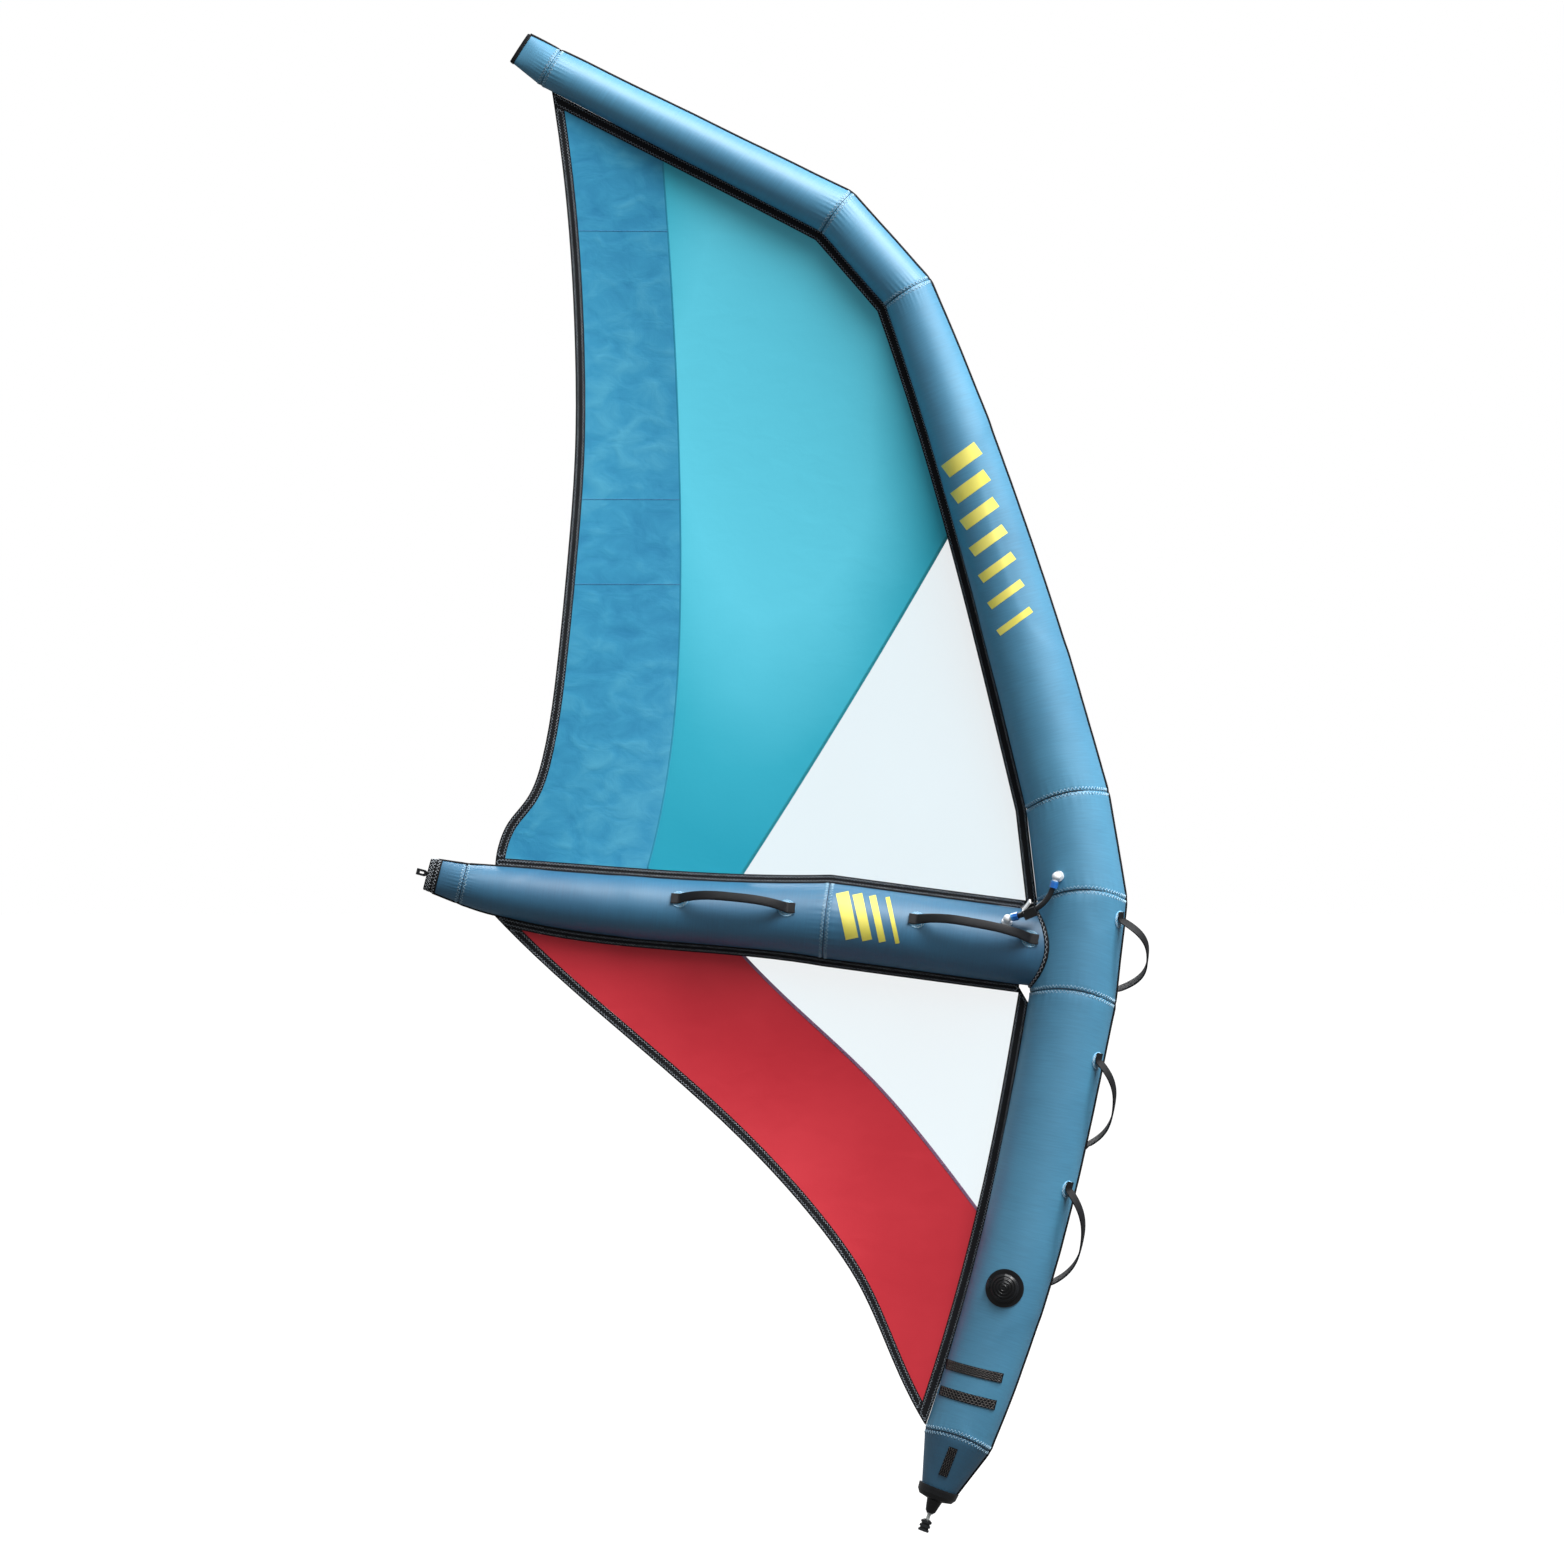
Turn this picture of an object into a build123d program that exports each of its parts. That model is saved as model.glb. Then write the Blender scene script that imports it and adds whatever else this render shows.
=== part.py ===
from build123d import *
import os
from math import cos, hypot, pi, radians, sin

# Inflatable windsurf rig, in millimetres. The rig stands in the XZ plane: +Z is up, +X is towards the
# leading edge, and -Y is the side whose handles, valve and hose face the sailor. The origin is the
# mouth of the threaded socket in the base plug. Two inflated tubes, the mast and the boom, carry two
# canopies that lie in the tubes' middle plane and belly towards +Y.

os.makedirs("parts", exist_ok=True)

# ---- Driving dimensions ------------------------------------------------------------------------

foot_lean = 20.5            # angle of the foot's axis from the vertical, degrees

# Mast stations, from the foot to the tip: x, z and tube radius on the sewn ring or between rings
foot_end_rise = 86.0        # end of the foot cone inside the cup, measured up the foot's axis
foot_end_radius = 36.0
foot_seam_rise = 229.0      # ring between the foot cone and the lower sleeve, up the foot's axis
foot_seam_radius = 80.0
valve_station = (199, 569, 91)
lower_station = (285, 920, 96)
junction_low_seam = (349, 1247, 100)
junction_high_seam = (371, 1475, 104)
shoulder_seam = (337, 1709, 97)
middle_station_low = (259, 2001, 91)
middle_station_high = (75, 2600, 71)
bend_low_seam = (-36, 2898, 59.5)
bend_high_seam = (-202, 3086, 58)
tip_seam = (-871, 3423, 47)
tip_end = (-943, 3470, 38)

# Boom stations, from inside the mast out to the tip
boom_root = (345, 1353, 88)
boom_root_depth = 66.0      # half the boom's depth in Y where it is sewn to the mast
boom_near_station = (100, 1385, 88)
boom_seam = (-226, 1429, 88)
boom_middle_station = (-662, 1458, 72.5)
boom_far_station = (-990, 1498, 57)
boom_tip_seam = (-1076, 1515, 46)
boom_tip_end = (-1158, 1537, 36)

flat_end_depth = 9.0        # half the depth of a tube's end where it is pressed flat and bound
sleeve_wall = 1.6
bladder_wall = 1.5
bladder_clearance = 0.5
seat_gap = 0.3              # between a soft piece and what it is sewn or fitted to

# Canopies: panels, tapes and seams
panel_thickness = 1.8
seam_thickness = 2.8
tape_thickness = 3.6
luff_tape_width = 26.0
boom_tape_width = 20.0
leech_tape_width = 22.0
window_seam_width = 7.0
sail_reach = 160.0          # half-depth of the cutters that trim the sails' outlines

# Upper canopy: leech (free edge) from the head to the boom, and the lines where its panels join
upper_leech = [
    (-869, 3372), (-833, 3093), (-814, 2764), (-814, 2530), (-832, 2272), (-859, 2003),
    (-892, 1804), (-929, 1711), (-970, 1659), (-992, 1610), (-1001, 1545),
]
upper_panel_join = [(-618, 3310), (-587, 2881), (-569, 2413), (-569, 2139), (-593, 1804), (-680, 1440)]
upper_window_join = [(137, 2470), (-100, 2058), (-520, 1390)]
# Sections of the upper canopy: height, aft end, fore end, depth of the belly
upper_sections = [
    (1300, -1090, 420, 0), (1600, -1040, 400, 16), (2000, -910, 320, 48), (2400, -870, 200, 62),
    (2800, -860, 60, 48), (3150, -880, -100, 22), (3450, -920, -330, 2),
]

# Lower canopy: leech from the boom to the foot, and the line where its panels join
lower_leech = [
    (-1003, 1440), (-757, 1210), (-509, 995), (-402, 892), (-240, 709), (-151, 578), (-83, 428), (4, 250),
]
lower_window_join = [(-500, 1440), (-318, 1243), (-119, 1055), (87, 805), (240, 600)]
lower_corner_cut = [(205, 1307), (255, 1221)]     # fore of this line the corner is left open
lower_sections = [
    (1470, -1090, 440, 0), (1250, -840, 430, 12), (1000, -560, 390, 34), (700, -280, 320, 28),
    (400, -110, 240, 12), (150, -20, 170, 1),
]

# Sewn trim
piping_height = 6.0
piping_thickness = 4.0
junction_binding_width = 9.0
end_binding_length = 30.0   # black webbing folded over the boom's flat end
tip_binding_length = 8.0
end_binding_thickness = 2.0
pull_loop_length = 26.0
pull_loop_height = 15.0
pull_loop_thickness = 3.0
pull_loop_width = 14.0
patch_radius = 21.0
patch_thickness = 1.5
strip_thickness = 2.5
# Webbing strips sewn across the foot: x, z, width, height and turn of each, seen from the sailor
foot_strips = [(120, 377, 132, 23, -13.5), (104, 315, 132, 23, -14.5), (58, 166, 21, 71, -20.5)]

# Webbing handles. Each runs between two sewn ends: x and z of a point on the tube's axis, and the
# angle of the sewn end round the tube from straight at the sailor (up on the boom, forward on the mast)
webbing_width = 25.0
webbing_thickness = 3.2
handle_tab = 20.0           # length of the webbing sewn flat at each end
boom_handle_rise = 44.0
outer_handle_ends = [(-571, 22), (-321, 17)]
inner_handle_ends = [(-19, 20), (246, 16)]
mast_handle_ends = {
    "mast_handle_upper": [(1440, 62), (1275, 106)],
    "mast_handle_middle": [(1118, 58), (918, 106)],
    "mast_handle_lower": [(820, 54), (600, 106)],
}
mast_handle_rises = {"mast_handle_upper": 62, "mast_handle_middle": 44, "mast_handle_lower": 44}
handle_steps = 12           # stretches of webbing between the sewn ends

# Foot fitting, measured up the foot's axis from the socket's mouth
cup_rim_rise = 108.0
cup_radius = 49.0
cup_shoulder_inset = 2.0    # of its shoulder inside the rim
cup_shoulder_rise = 92.0
cup_base_rise = 82.0
cup_base_radius = 40.0
neck_top_rise = 77.0
neck_top_radius = 18.5
neck_low_rise = 50.0
neck_low_radius = 12.3
neck_end_rise = 45.5
neck_end_radius = 8.5
pin_radius = 5.0
pin_clearance = 0.06
pin_head_radius = 9.0
pin_head_height = 8.0
pin_head_seat = 62.0
pin_collar_radius = 7.5
pin_collar_height = 1.8
tendon_radius = 4.2
tendon_flare = 1.0          # of both its ends past its waist
tendon_bend_rise = 37.0
plug_top_rise = 29.0
plug_radius = 13.0
plug_groove_depth = 2.5
plug_rib_count = 3
plug_rib_height = 5.5
plug_taper_height = 3.0     # from its top rib up to the tendon
socket_radius = 4.0
insert_radius = 7.0
insert_length = 20.0

# Inflation valve, on the front of the mast's lower sleeve
valve_angle = 7.0           # turned aft from straight at the sailor, degrees
valve_skirt_radius = 45.0
valve_skirt_thickness = 3.0
valve_ring_radius = 34.0
valve_ring_thickness = 4.2
valve_nozzle_wall = 4.0
valve_barrel_radius = 22.0
valve_barrel_depth = 30.0   # below the tube's surface
valve_mouth_rise = 14.0     # above the tube's surface
valve_bore_radius = 11.0
valve_web_thickness = 3.0
valve_web_depth = 12.0      # of the web below the tube's surface
web_slot_circle = 7.15      # air passes the web through four holes on this radius
web_slot_radius = 2.4
plunger_radius = 3.0
plunger_button_radius = 7.5
button_depth = 4.0          # of the button below the valve's mouth
button_height = 3.5
plunger_seal_radius = 17.0
plunger_seal_height = 4.0
spring_wire = 0.7           # radius of the spring's wire
spring_radius = 5.0
spring_turns = 4
cap_radius = 33.0
cap_height = 17.0
cap_wall = 2.6
cap_side = 3.5              # straight height of the cap's side below its dome
cap_rib_radii = (23, 16, 9)
cap_rib_half_width = 1.3
cap_rib_rise = 1.0
hinge_offset = 38.0         # from the valve's axis to the cap's hinge
hinge_pin_radius = 1.5
hinge_clearance = 0.06
hinge_knuckle_radius = 3.4
hinge_width = 14.0
hinge_rise = 2.0            # of its pin above the ring
ear_width = 3.5
ear_reach = 3.5             # of the ears past the pin
ear_depth = 7.0
ear_root_overlap = 2.0      # of the ears into the ring
hinge_strap_overlap = 1.0   # of the cap's hinge strap into its side

# Hose between the air chambers, with its fittings and clamp
mast_port_height = 1540.0
mast_port_angle = 27.0      # turned aft from straight at the sailor
boom_port_x = 188.0
boom_port_angle = 38.0      # turned up from straight at the sailor
port_base_radius = 12.5
port_base_height = 4.0
port_riser_radius = 7.5
port_reach = 15.0           # from the tube's surface to the elbow's centre
elbow_radius = 10.0
spigot_length = 11.0
hose_radius = 6.5
collar_radius = 9.6
collar_length = 16.0
collar_sides = 8
collar_clearance = 0.3
hose_points = [(300, -103.4, 1500), (284.5, -102.5, 1474.3), (261.2, -99.5, 1455.4), (234, -93.3, 1444)]
clamp_opening = (-0.35, -0.45, 0.82)    # the way the clamp's channel opens
clamp_length = 32.0
clamp_wall = 2.6
clamp_channel_gap = 1.6     # between the hose and the clamp's channel
clamp_wall_rise = 8.0       # of the walls above the hose
lever_thickness = 4.0
lever_open_angle = 32.0
lever_pin_radius = 1.6
lever_pin_inset = 4.0       # of the pin from the clamp's end
lever_knuckle_radius = 2.8
lever_clearance = 0.3


# ---- Tubes -------------------------------------------------------------------------------------

def foot_point(rise):
    """Point of the XZ plane on the foot's axis, at this distance from the socket's mouth."""
    return rise * sin(radians(foot_lean)), rise * cos(radians(foot_lean))


def save(piece, name):
    """Names a finished piece and writes its file."""
    piece.part.label = name
    export_step(piece.part, f"parts/{name}.step")


def station(x, z, radius, depth=None):
    """A ring of a tube: its centre, half its height in the XZ plane and half its depth in Y."""
    return x, z, radius, radius if depth is None else depth


mast_stations = [
    station(*foot_point(foot_end_rise), foot_end_radius),
    station(*foot_point(foot_seam_rise), foot_seam_radius),
    station(*valve_station),
    station(*lower_station),
    station(*junction_low_seam),
    station(*junction_high_seam),
    station(*shoulder_seam),
    station(*middle_station_low),
    station(*middle_station_high),
    station(*bend_low_seam),
    station(*bend_high_seam),
    station(*tip_seam),
    station(*tip_end, flat_end_depth),
]
boom_stations = [
    station(*boom_root, boom_root_depth),
    station(*boom_near_station),
    station(*boom_seam),
    station(*boom_middle_station),
    station(*boom_far_station),
    station(*boom_tip_seam),
    station(*boom_tip_end, flat_end_depth),
]


def direction_at(stations, index):
    """Unit direction of the tube's axis at a station: halfway between its two neighbours' runs."""
    total_x = total_z = 0
    for first, second in ((index - 1, index), (index, index + 1)):
        if first >= 0 and second < len(stations):
            run_x = stations[second][0] - stations[first][0]
            run_z = stations[second][1] - stations[first][1]
            total_x += run_x / hypot(run_x, run_z)
            total_z += run_z / hypot(run_x, run_z)
    return total_x / hypot(total_x, total_z), total_z / hypot(total_x, total_z)


def ring_plane(stations, index, shift=0.0):
    """Plane of a station's ring: local x is Y, and local z runs along the tube."""
    x, z = stations[index][:2]
    run_x, run_z = direction_at(stations, index)
    return Plane(
        origin=(x + shift * run_x, 0, z + shift * run_z), x_dir=(0, 1, 0), z_dir=(run_x, 0, run_z)
    )


def tube_rings(stations, first, last, grow=0.0, start_shift=0.0, end_shift=0.0):
    """The rings of a tube from first to last, grown by this much, ready to loft."""
    rings = []
    for index in range(first, last + 1):
        shift = start_shift if index == first else end_shift if index == last else 0.0
        radius, depth = stations[index][2:]
        with BuildSketch(ring_plane(stations, index, shift)) as ring:
            Ellipse(depth + grow, radius + grow)
        rings.append(ring.sketch)
    return rings


mast_sleeves = {
    "mast_foot_cone": (0, 1),
    "mast_lower_sleeve": (1, 4),
    "mast_junction_sleeve": (4, 5),
    "mast_shoulder_sleeve": (5, 6),
    "mast_middle_sleeve": (6, 9),
    "mast_bend_sleeve": (9, 10),
    "mast_head_sleeve": (10, 11),
    "mast_tip_cap": (11, 12),
}
boom_sleeves = {
    "boom_inner_sleeve": (0, 2),
    "boom_outer_sleeve": (2, 5),
    "boom_tip_cap": (5, 6),
}


def tube_envelope(stations, sleeves, grow):
    """The whole tube as one solid, grown by this much: it trims what lies on the tube."""
    with BuildPart() as envelope:
        for first, last in sleeves.values():
            loft(tube_rings(stations, first, last, grow))
    return envelope.part


mast_skin = tube_envelope(mast_stations, mast_sleeves, seat_gap)
boom_skin = tube_envelope(boom_stations, boom_sleeves, seat_gap)


def tube_place(stations, coordinate, value, angle, side=-1):
    """A place on a tube whose axis has this x (coordinate 0) or z (coordinate 1) there.

    Gives a plane on the axis, with local x along the tube and local z out through its wall, turned
    by angle from -Y (side -1) or +Y, up on the boom and forward on the mast. Then the distance out
    to the tube's surface.
    """
    skin = mast_skin if stations is mast_stations else boom_skin
    for first, second in zip(stations, stations[1:]):
        low, high = sorted((first[coordinate], second[coordinate]))
        if low <= value <= high:
            share = (value - first[coordinate]) / (second[coordinate] - first[coordinate])
            x, z = (a + share * (b - a) for a, b in zip(first[:2], second[:2]))
            length = hypot(second[0] - first[0], second[1] - first[1])
            run_x, run_z = (second[0] - first[0]) / length, (second[1] - first[1]) / length
            rise, reach = sin(radians(angle)), cos(radians(angle))
            plane = Plane(
                origin=(x, 0, z), x_dir=(run_x, 0, run_z),
                z_dir=(run_z * rise, side * reach, -run_x * rise),
            )
            crossings = skin.find_intersection_points(Axis(plane.origin, plane.z_dir))
            outs = [(point - plane.origin).dot(plane.z_dir) for point, normal in crossings]
            return plane, max(outs) - seat_gap
    raise ValueError("no such place on the tube")


valve_plane, valve_radius = tube_place(mast_stations, 1, valve_station[1], -valve_angle)
mast_port_plane, mast_port_radius = tube_place(mast_stations, 1, mast_port_height, -mast_port_angle)
boom_port_plane, boom_port_radius = tube_place(boom_stations, 0, boom_port_x, boom_port_angle)


# ---- Sleeves and bladders ------------------------------------------------------------------------

def cut_hole(plane, radius):
    """Cuts a round hole from a tube's axis outwards through one wall, in the part being built."""
    with BuildSketch(plane) as hole:
        Circle(radius)
    extrude(hole.sketch, amount=sail_reach, mode=Mode.SUBTRACT)


barrel_hole = valve_barrel_radius + seat_gap
port_hole = port_riser_radius + seat_gap

for name, (first, last) in mast_sleeves.items():
    with BuildPart() as mast_sleeve:
        loft(tube_rings(mast_stations, first, last))
        loft(tube_rings(mast_stations, first, last, -sleeve_wall), mode=Mode.SUBTRACT)
        cut_hole(valve_plane, barrel_hole)
        cut_hole(mast_port_plane, port_hole)
    save(mast_sleeve, name)

for name, (first, last) in boom_sleeves.items():
    with BuildPart() as boom_sleeve:
        loft(tube_rings(boom_stations, first, last))
        loft(tube_rings(boom_stations, first, last, -sleeve_wall), mode=Mode.SUBTRACT)
        cut_hole(boom_port_plane, port_hole)
        add(mast_skin, mode=Mode.SUBTRACT)
    save(boom_sleeve, name)


def bladder(stations, sleeves, last):
    """Fills the part being built with a closed balloon that lines the tube up to ring last."""
    spans = [span for span in sleeves.values() if span[1] <= last]
    inset = sleeve_wall + bladder_clearance
    for layer, mode in ((inset, Mode.ADD), (inset + bladder_wall, Mode.SUBTRACT)):
        for first, final in spans:
            rings = tube_rings(
                stations, first, final, -layer,
                start_shift=layer if first == 0 else 0.0,
                end_shift=-layer if final == last else 0.0,
            )
            loft(rings, mode=mode)


with BuildPart() as mast_bladder:
    bladder(mast_stations, mast_sleeves, mast_sleeves["mast_head_sleeve"][1])
    cut_hole(valve_plane, barrel_hole)
    cut_hole(mast_port_plane, port_hole)
save(mast_bladder, "mast_bladder")

with BuildPart() as boom_bladder:
    bladder(boom_stations, boom_sleeves, boom_sleeves["boom_outer_sleeve"][1])
    cut_hole(boom_port_plane, port_hole)
    add(mast_skin, mode=Mode.SUBTRACT)
save(boom_bladder, "boom_bladder")


# ---- Canopies ------------------------------------------------------------------------------------

sail_top = tip_end[1] + sail_reach
sail_fore = junction_high_seam[0] + 2 * sail_reach
sail_aft = boom_tip_end[0] - sail_reach


def shifted(points, distance):
    """A line of points moved to its left by this distance."""
    moved = []
    for index, (x, z) in enumerate(points):
        before = points[max(index - 1, 0)]
        after = points[min(index + 1, len(points) - 1)]
        run_x, run_z = after[0] - before[0], after[1] - before[1]
        length = hypot(run_x, run_z)
        moved.append((x - run_z / length * distance, z + run_x / length * distance))
    return moved


def area_beside(points, far_x):
    """The part of the sail's plane between a line that runs down it and far_x."""
    with BuildSketch(Plane.XZ) as area:
        with BuildLine():
            edge = Spline(*points)
            Polyline(
                edge @ 1, (points[-1][0], 0), (far_x, 0), (far_x, sail_top),
                (points[0][0], sail_top), edge @ 0,
            )
        make_face()
    return area.sketch


def sail_outline(leech, tube_points):
    """A canopy's outline: its leech, and the axes of the tubes that it is sewn to."""
    with BuildSketch(Plane.XZ) as outline:
        with BuildLine():
            edge = Spline(*leech)
            Polyline(edge @ 1, *tube_points, edge @ 0)
        make_face()
    return outline.sketch


def belly_rings(sections, thickness):
    """Thin curved sections of a canopy, ready to loft."""
    rings = []
    for height, aft, fore, belly in sections:
        middle, half = (aft + fore) / 2, thickness / 2
        with BuildSketch(Plane.XY.offset(height)) as ring:
            with BuildLine():
                Bezier((aft, -half), (middle, 2 * belly - half), (fore, -half))
                Line((fore, -half), (fore, half))
                Bezier((fore, half), (middle, 2 * belly + half), (aft, half))
                Line((aft, half), (aft, -half))
            make_face()
        rings.append(ring.sketch)
    return rings


def canopy(sections, thickness, outline):
    """A whole canopy of one thickness, cut to its outline."""
    with BuildPart() as cloth:
        loft(belly_rings(sections, thickness))
        extrude(outline, amount=sail_reach, both=True, mode=Mode.INTERSECT)
    return cloth.part


boom_axis = [ring[:2] for ring in boom_stations[1:5]]
corner_axis = boom_root[:2]
upper_outline = sail_outline(
    upper_leech,
    [*reversed(boom_axis), corner_axis, *[ring[:2] for ring in mast_stations[5:12]]],
)
lower_outline = sail_outline(
    lower_leech,
    [*[ring[:2] for ring in mast_stations[1:5]], corner_axis, *boom_axis],
)

mast_tape_zone = tube_envelope(mast_stations, mast_sleeves, luff_tape_width)
boom_tape_zone = tube_envelope(boom_stations, boom_sleeves, boom_tape_width)


def keep(area):
    """Keeps what lies in an area of the sail's plane, in the part being built."""
    extrude(area, amount=sail_reach, both=True, mode=Mode.INTERSECT)


def trim_to_tubes(*solids):
    """Cuts tubes or tape zones away from the part being built."""
    for solid in solids:
        add(solid, mode=Mode.SUBTRACT)


half_seam = window_seam_width / 2
sails = {
    "upper": (upper_sections, upper_outline, upper_leech, upper_window_join),
    "lower": (lower_sections, lower_outline, lower_leech, lower_window_join),
}

with BuildSketch(Plane.XZ) as corner_opening:
    with BuildLine():
        Polyline(
            *lower_corner_cut,
            (sail_fore, lower_corner_cut[1][1]),
            (sail_fore, lower_corner_cut[0][1]),
            close=True,
        )
    make_face()

for side, (sections, outline, leech, window_join) in sails.items():
    panel_cloth = canopy(sections, panel_thickness, outline)
    seam_cloth = canopy(sections, seam_thickness, outline)
    tape_cloth = canopy(sections, tape_thickness, outline)
    inner_leech = shifted(leech, leech_tape_width)

    with BuildPart() as leech_tape:
        add(tape_cloth)
        keep(area_beside(inner_leech, sail_aft))
        trim_to_tubes(mast_tape_zone, boom_tape_zone)
    save(leech_tape, f"{side}_leech_tape")

    with BuildPart() as luff_tape:
        add(tape_cloth)
        add(mast_tape_zone, mode=Mode.INTERSECT)
        trim_to_tubes(mast_skin, boom_skin)
        if side == "lower":
            extrude(corner_opening.sketch, amount=sail_reach, both=True, mode=Mode.SUBTRACT)
    save(luff_tape, f"{side}_luff_tape")

    with BuildPart() as boom_tape:
        add(tape_cloth)
        add(boom_tape_zone, mode=Mode.INTERSECT)
        trim_to_tubes(boom_skin, mast_tape_zone)
    save(boom_tape, "upper_foot_tape" if side == "upper" else "lower_head_tape")

    with BuildPart() as window_seam:
        add(seam_cloth)
        keep(area_beside(inner_leech, sail_fore))
        keep(area_beside(shifted(window_join, -half_seam), sail_fore))
        keep(area_beside(shifted(window_join, half_seam), sail_aft))
        trim_to_tubes(mast_tape_zone, boom_tape_zone)
    save(window_seam, f"{side}_window_seam")

    with BuildPart() as window:
        add(panel_cloth)
        keep(area_beside(inner_leech, sail_fore))
        keep(area_beside(shifted(window_join, half_seam), sail_fore))
        trim_to_tubes(mast_tape_zone, boom_tape_zone)
    save(window, f"{side}_window")

    with BuildPart() as main_panel:
        add(panel_cloth)
        keep(area_beside(inner_leech, sail_fore))
        keep(area_beside(shifted(window_join, -half_seam), sail_aft))
        if side == "upper":
            keep(area_beside(upper_panel_join, sail_fore))
        trim_to_tubes(mast_tape_zone, boom_tape_zone)
    save(main_panel, f"{side}_main_panel")

    if side == "upper":
        with BuildPart() as leech_panel:
            add(panel_cloth)
            keep(area_beside(inner_leech, sail_fore))
            keep(area_beside(upper_panel_join, sail_aft))
            trim_to_tubes(mast_tape_zone, boom_tape_zone)
        save(leech_panel, "upper_leech_panel")


# ---- Sewn trim -----------------------------------------------------------------------------------

def flat_end_binding(stations, sleeves, skin, length):
    """Webbing folded over a tube's flat end and sewn through it."""
    final = len(stations) - 1
    grow = seat_gap + end_binding_thickness
    with BuildPart() as binding:
        loft(tube_rings(stations, final - 1, final, grow, end_shift=end_binding_thickness))
        with BuildSketch(ring_plane(stations, final, -length)):
            Circle(2 * stations[final][2])
        extrude(amount=2 * length, mode=Mode.INTERSECT)
        add(skin, mode=Mode.SUBTRACT)
    return binding


boom_end_binding = flat_end_binding(boom_stations, boom_sleeves, boom_skin, end_binding_length)
save(boom_end_binding, "boom_end_binding")
mast_tip_binding = flat_end_binding(mast_stations, mast_sleeves, mast_skin, tip_binding_length)
save(mast_tip_binding, "mast_tip_binding")

boom_end_plane = ring_plane(boom_stations, len(boom_stations) - 1, end_binding_thickness)
with BuildPart() as boom_end_loop:
    with BuildSketch(Plane(boom_end_plane.origin, x_dir=boom_end_plane.z_dir, z_dir=(0, -1, 0))):
        Rectangle(pull_loop_length, pull_loop_height, align=(Align.MIN, Align.CENTER))
        fillet(vertices().group_by(Axis.X)[0], radius=pull_loop_height / 2 - seat_gap)
        offset(amount=-pull_loop_thickness, mode=Mode.SUBTRACT)
    extrude(amount=pull_loop_width / 2, both=True)
save(boom_end_loop, "boom_end_loop")

foot_run = Vector(sin(radians(foot_lean)), 0, cos(radians(foot_lean)))
piping_start = foot_point(cup_rim_rise + piping_height)
piping_end = ring_plane(mast_stations, 12, -tip_binding_length - seat_gap).origin
with BuildPart() as leading_edge_piping:
    add(tube_envelope(mast_stations, mast_sleeves, seat_gap + piping_height))
    with BuildSketch(Plane.XZ):
        with BuildLine():
            Polyline(
                piping_start,
                *[ring[:2] for ring in mast_stations[1:12]],
                (piping_end.X, piping_end.Z),
                (piping_end.X + sail_reach, sail_top),
                (sail_fore, sail_top),
                (sail_fore, piping_start[1] - sail_fore * foot_run.X),
                close=True,
            )
        make_face()
    extrude(amount=piping_thickness / 2, both=True, mode=Mode.INTERSECT)
    add(mast_skin, mode=Mode.SUBTRACT)
save(leading_edge_piping, "leading_edge_piping")

with BuildPart() as boom_junction_binding:
    add(tube_envelope(mast_stations, mast_sleeves, seat_gap + junction_binding_width))
    add(
        tube_envelope(boom_stations, boom_sleeves, seat_gap + junction_binding_width),
        mode=Mode.INTERSECT,
    )
    trim_to_tubes(mast_skin, boom_skin)
    for sections, outline, leech, window_join in sails.values():
        add(canopy(sections, tape_thickness + 2 * seat_gap, outline), mode=Mode.SUBTRACT)
save(boom_junction_binding, "boom_junction_binding")

with BuildPart() as foot_webbing_strips:
    for x, z, width, height, turn in foot_strips:
        with BuildSketch(Plane.XZ):
            with Locations(Location((x, z), turn)):
                Rectangle(width, height)
    extrude(amount=sail_reach)
    add(tube_envelope(mast_stations, mast_sleeves, seat_gap + strip_thickness), mode=Mode.INTERSECT)
    add(mast_skin, mode=Mode.SUBTRACT)
save(foot_webbing_strips, "foot_webbing_strips")


# ---- Handles -------------------------------------------------------------------------------------

def handle_place(stations, coordinate, ends, side, share):
    """A place along a handle: the plane on the tube's axis and the distance to its surface."""
    (start, start_angle), (finish, finish_angle) = ends
    held = min(max(share, 0), 1)
    angle = start_angle + held * (finish_angle - start_angle)
    return tube_place(stations, coordinate, start + share * (finish - start), angle, side)


def webbing_rings(stations, coordinate, ends, rise, side):
    """Flat webbing sections from one sewn end, out over the hand's gap and back to the other."""
    first, last = (handle_place(stations, coordinate, ends, side, share)[0] for share in (0, 1))
    tab = handle_tab / (last.origin - first.origin).length
    shares = [step / handle_steps for step in range(handle_steps + 1)]
    seat = seat_gap * 2 + patch_thickness + webbing_thickness / 2
    points, outs = [], []
    for share in (-tab, *shares, 1 + tab):
        plane, radius = handle_place(stations, coordinate, ends, side, share)
        lift = rise * max(1 - abs(2 * share - 1) ** 3, 0)
        points.append(plane.origin + plane.z_dir * (radius + seat + lift))
        outs.append(plane.z_dir)
    rings = []
    for index, (point, out) in enumerate(zip(points, outs)):
        forward = points[min(index + 1, len(points) - 1)] - points[max(index - 1, 0)]
        with BuildSketch(Plane(origin=point, x_dir=out.cross(forward), z_dir=forward)) as ring:
            Rectangle(webbing_width, webbing_thickness)
        rings.append(ring.sketch)
    return rings


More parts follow.
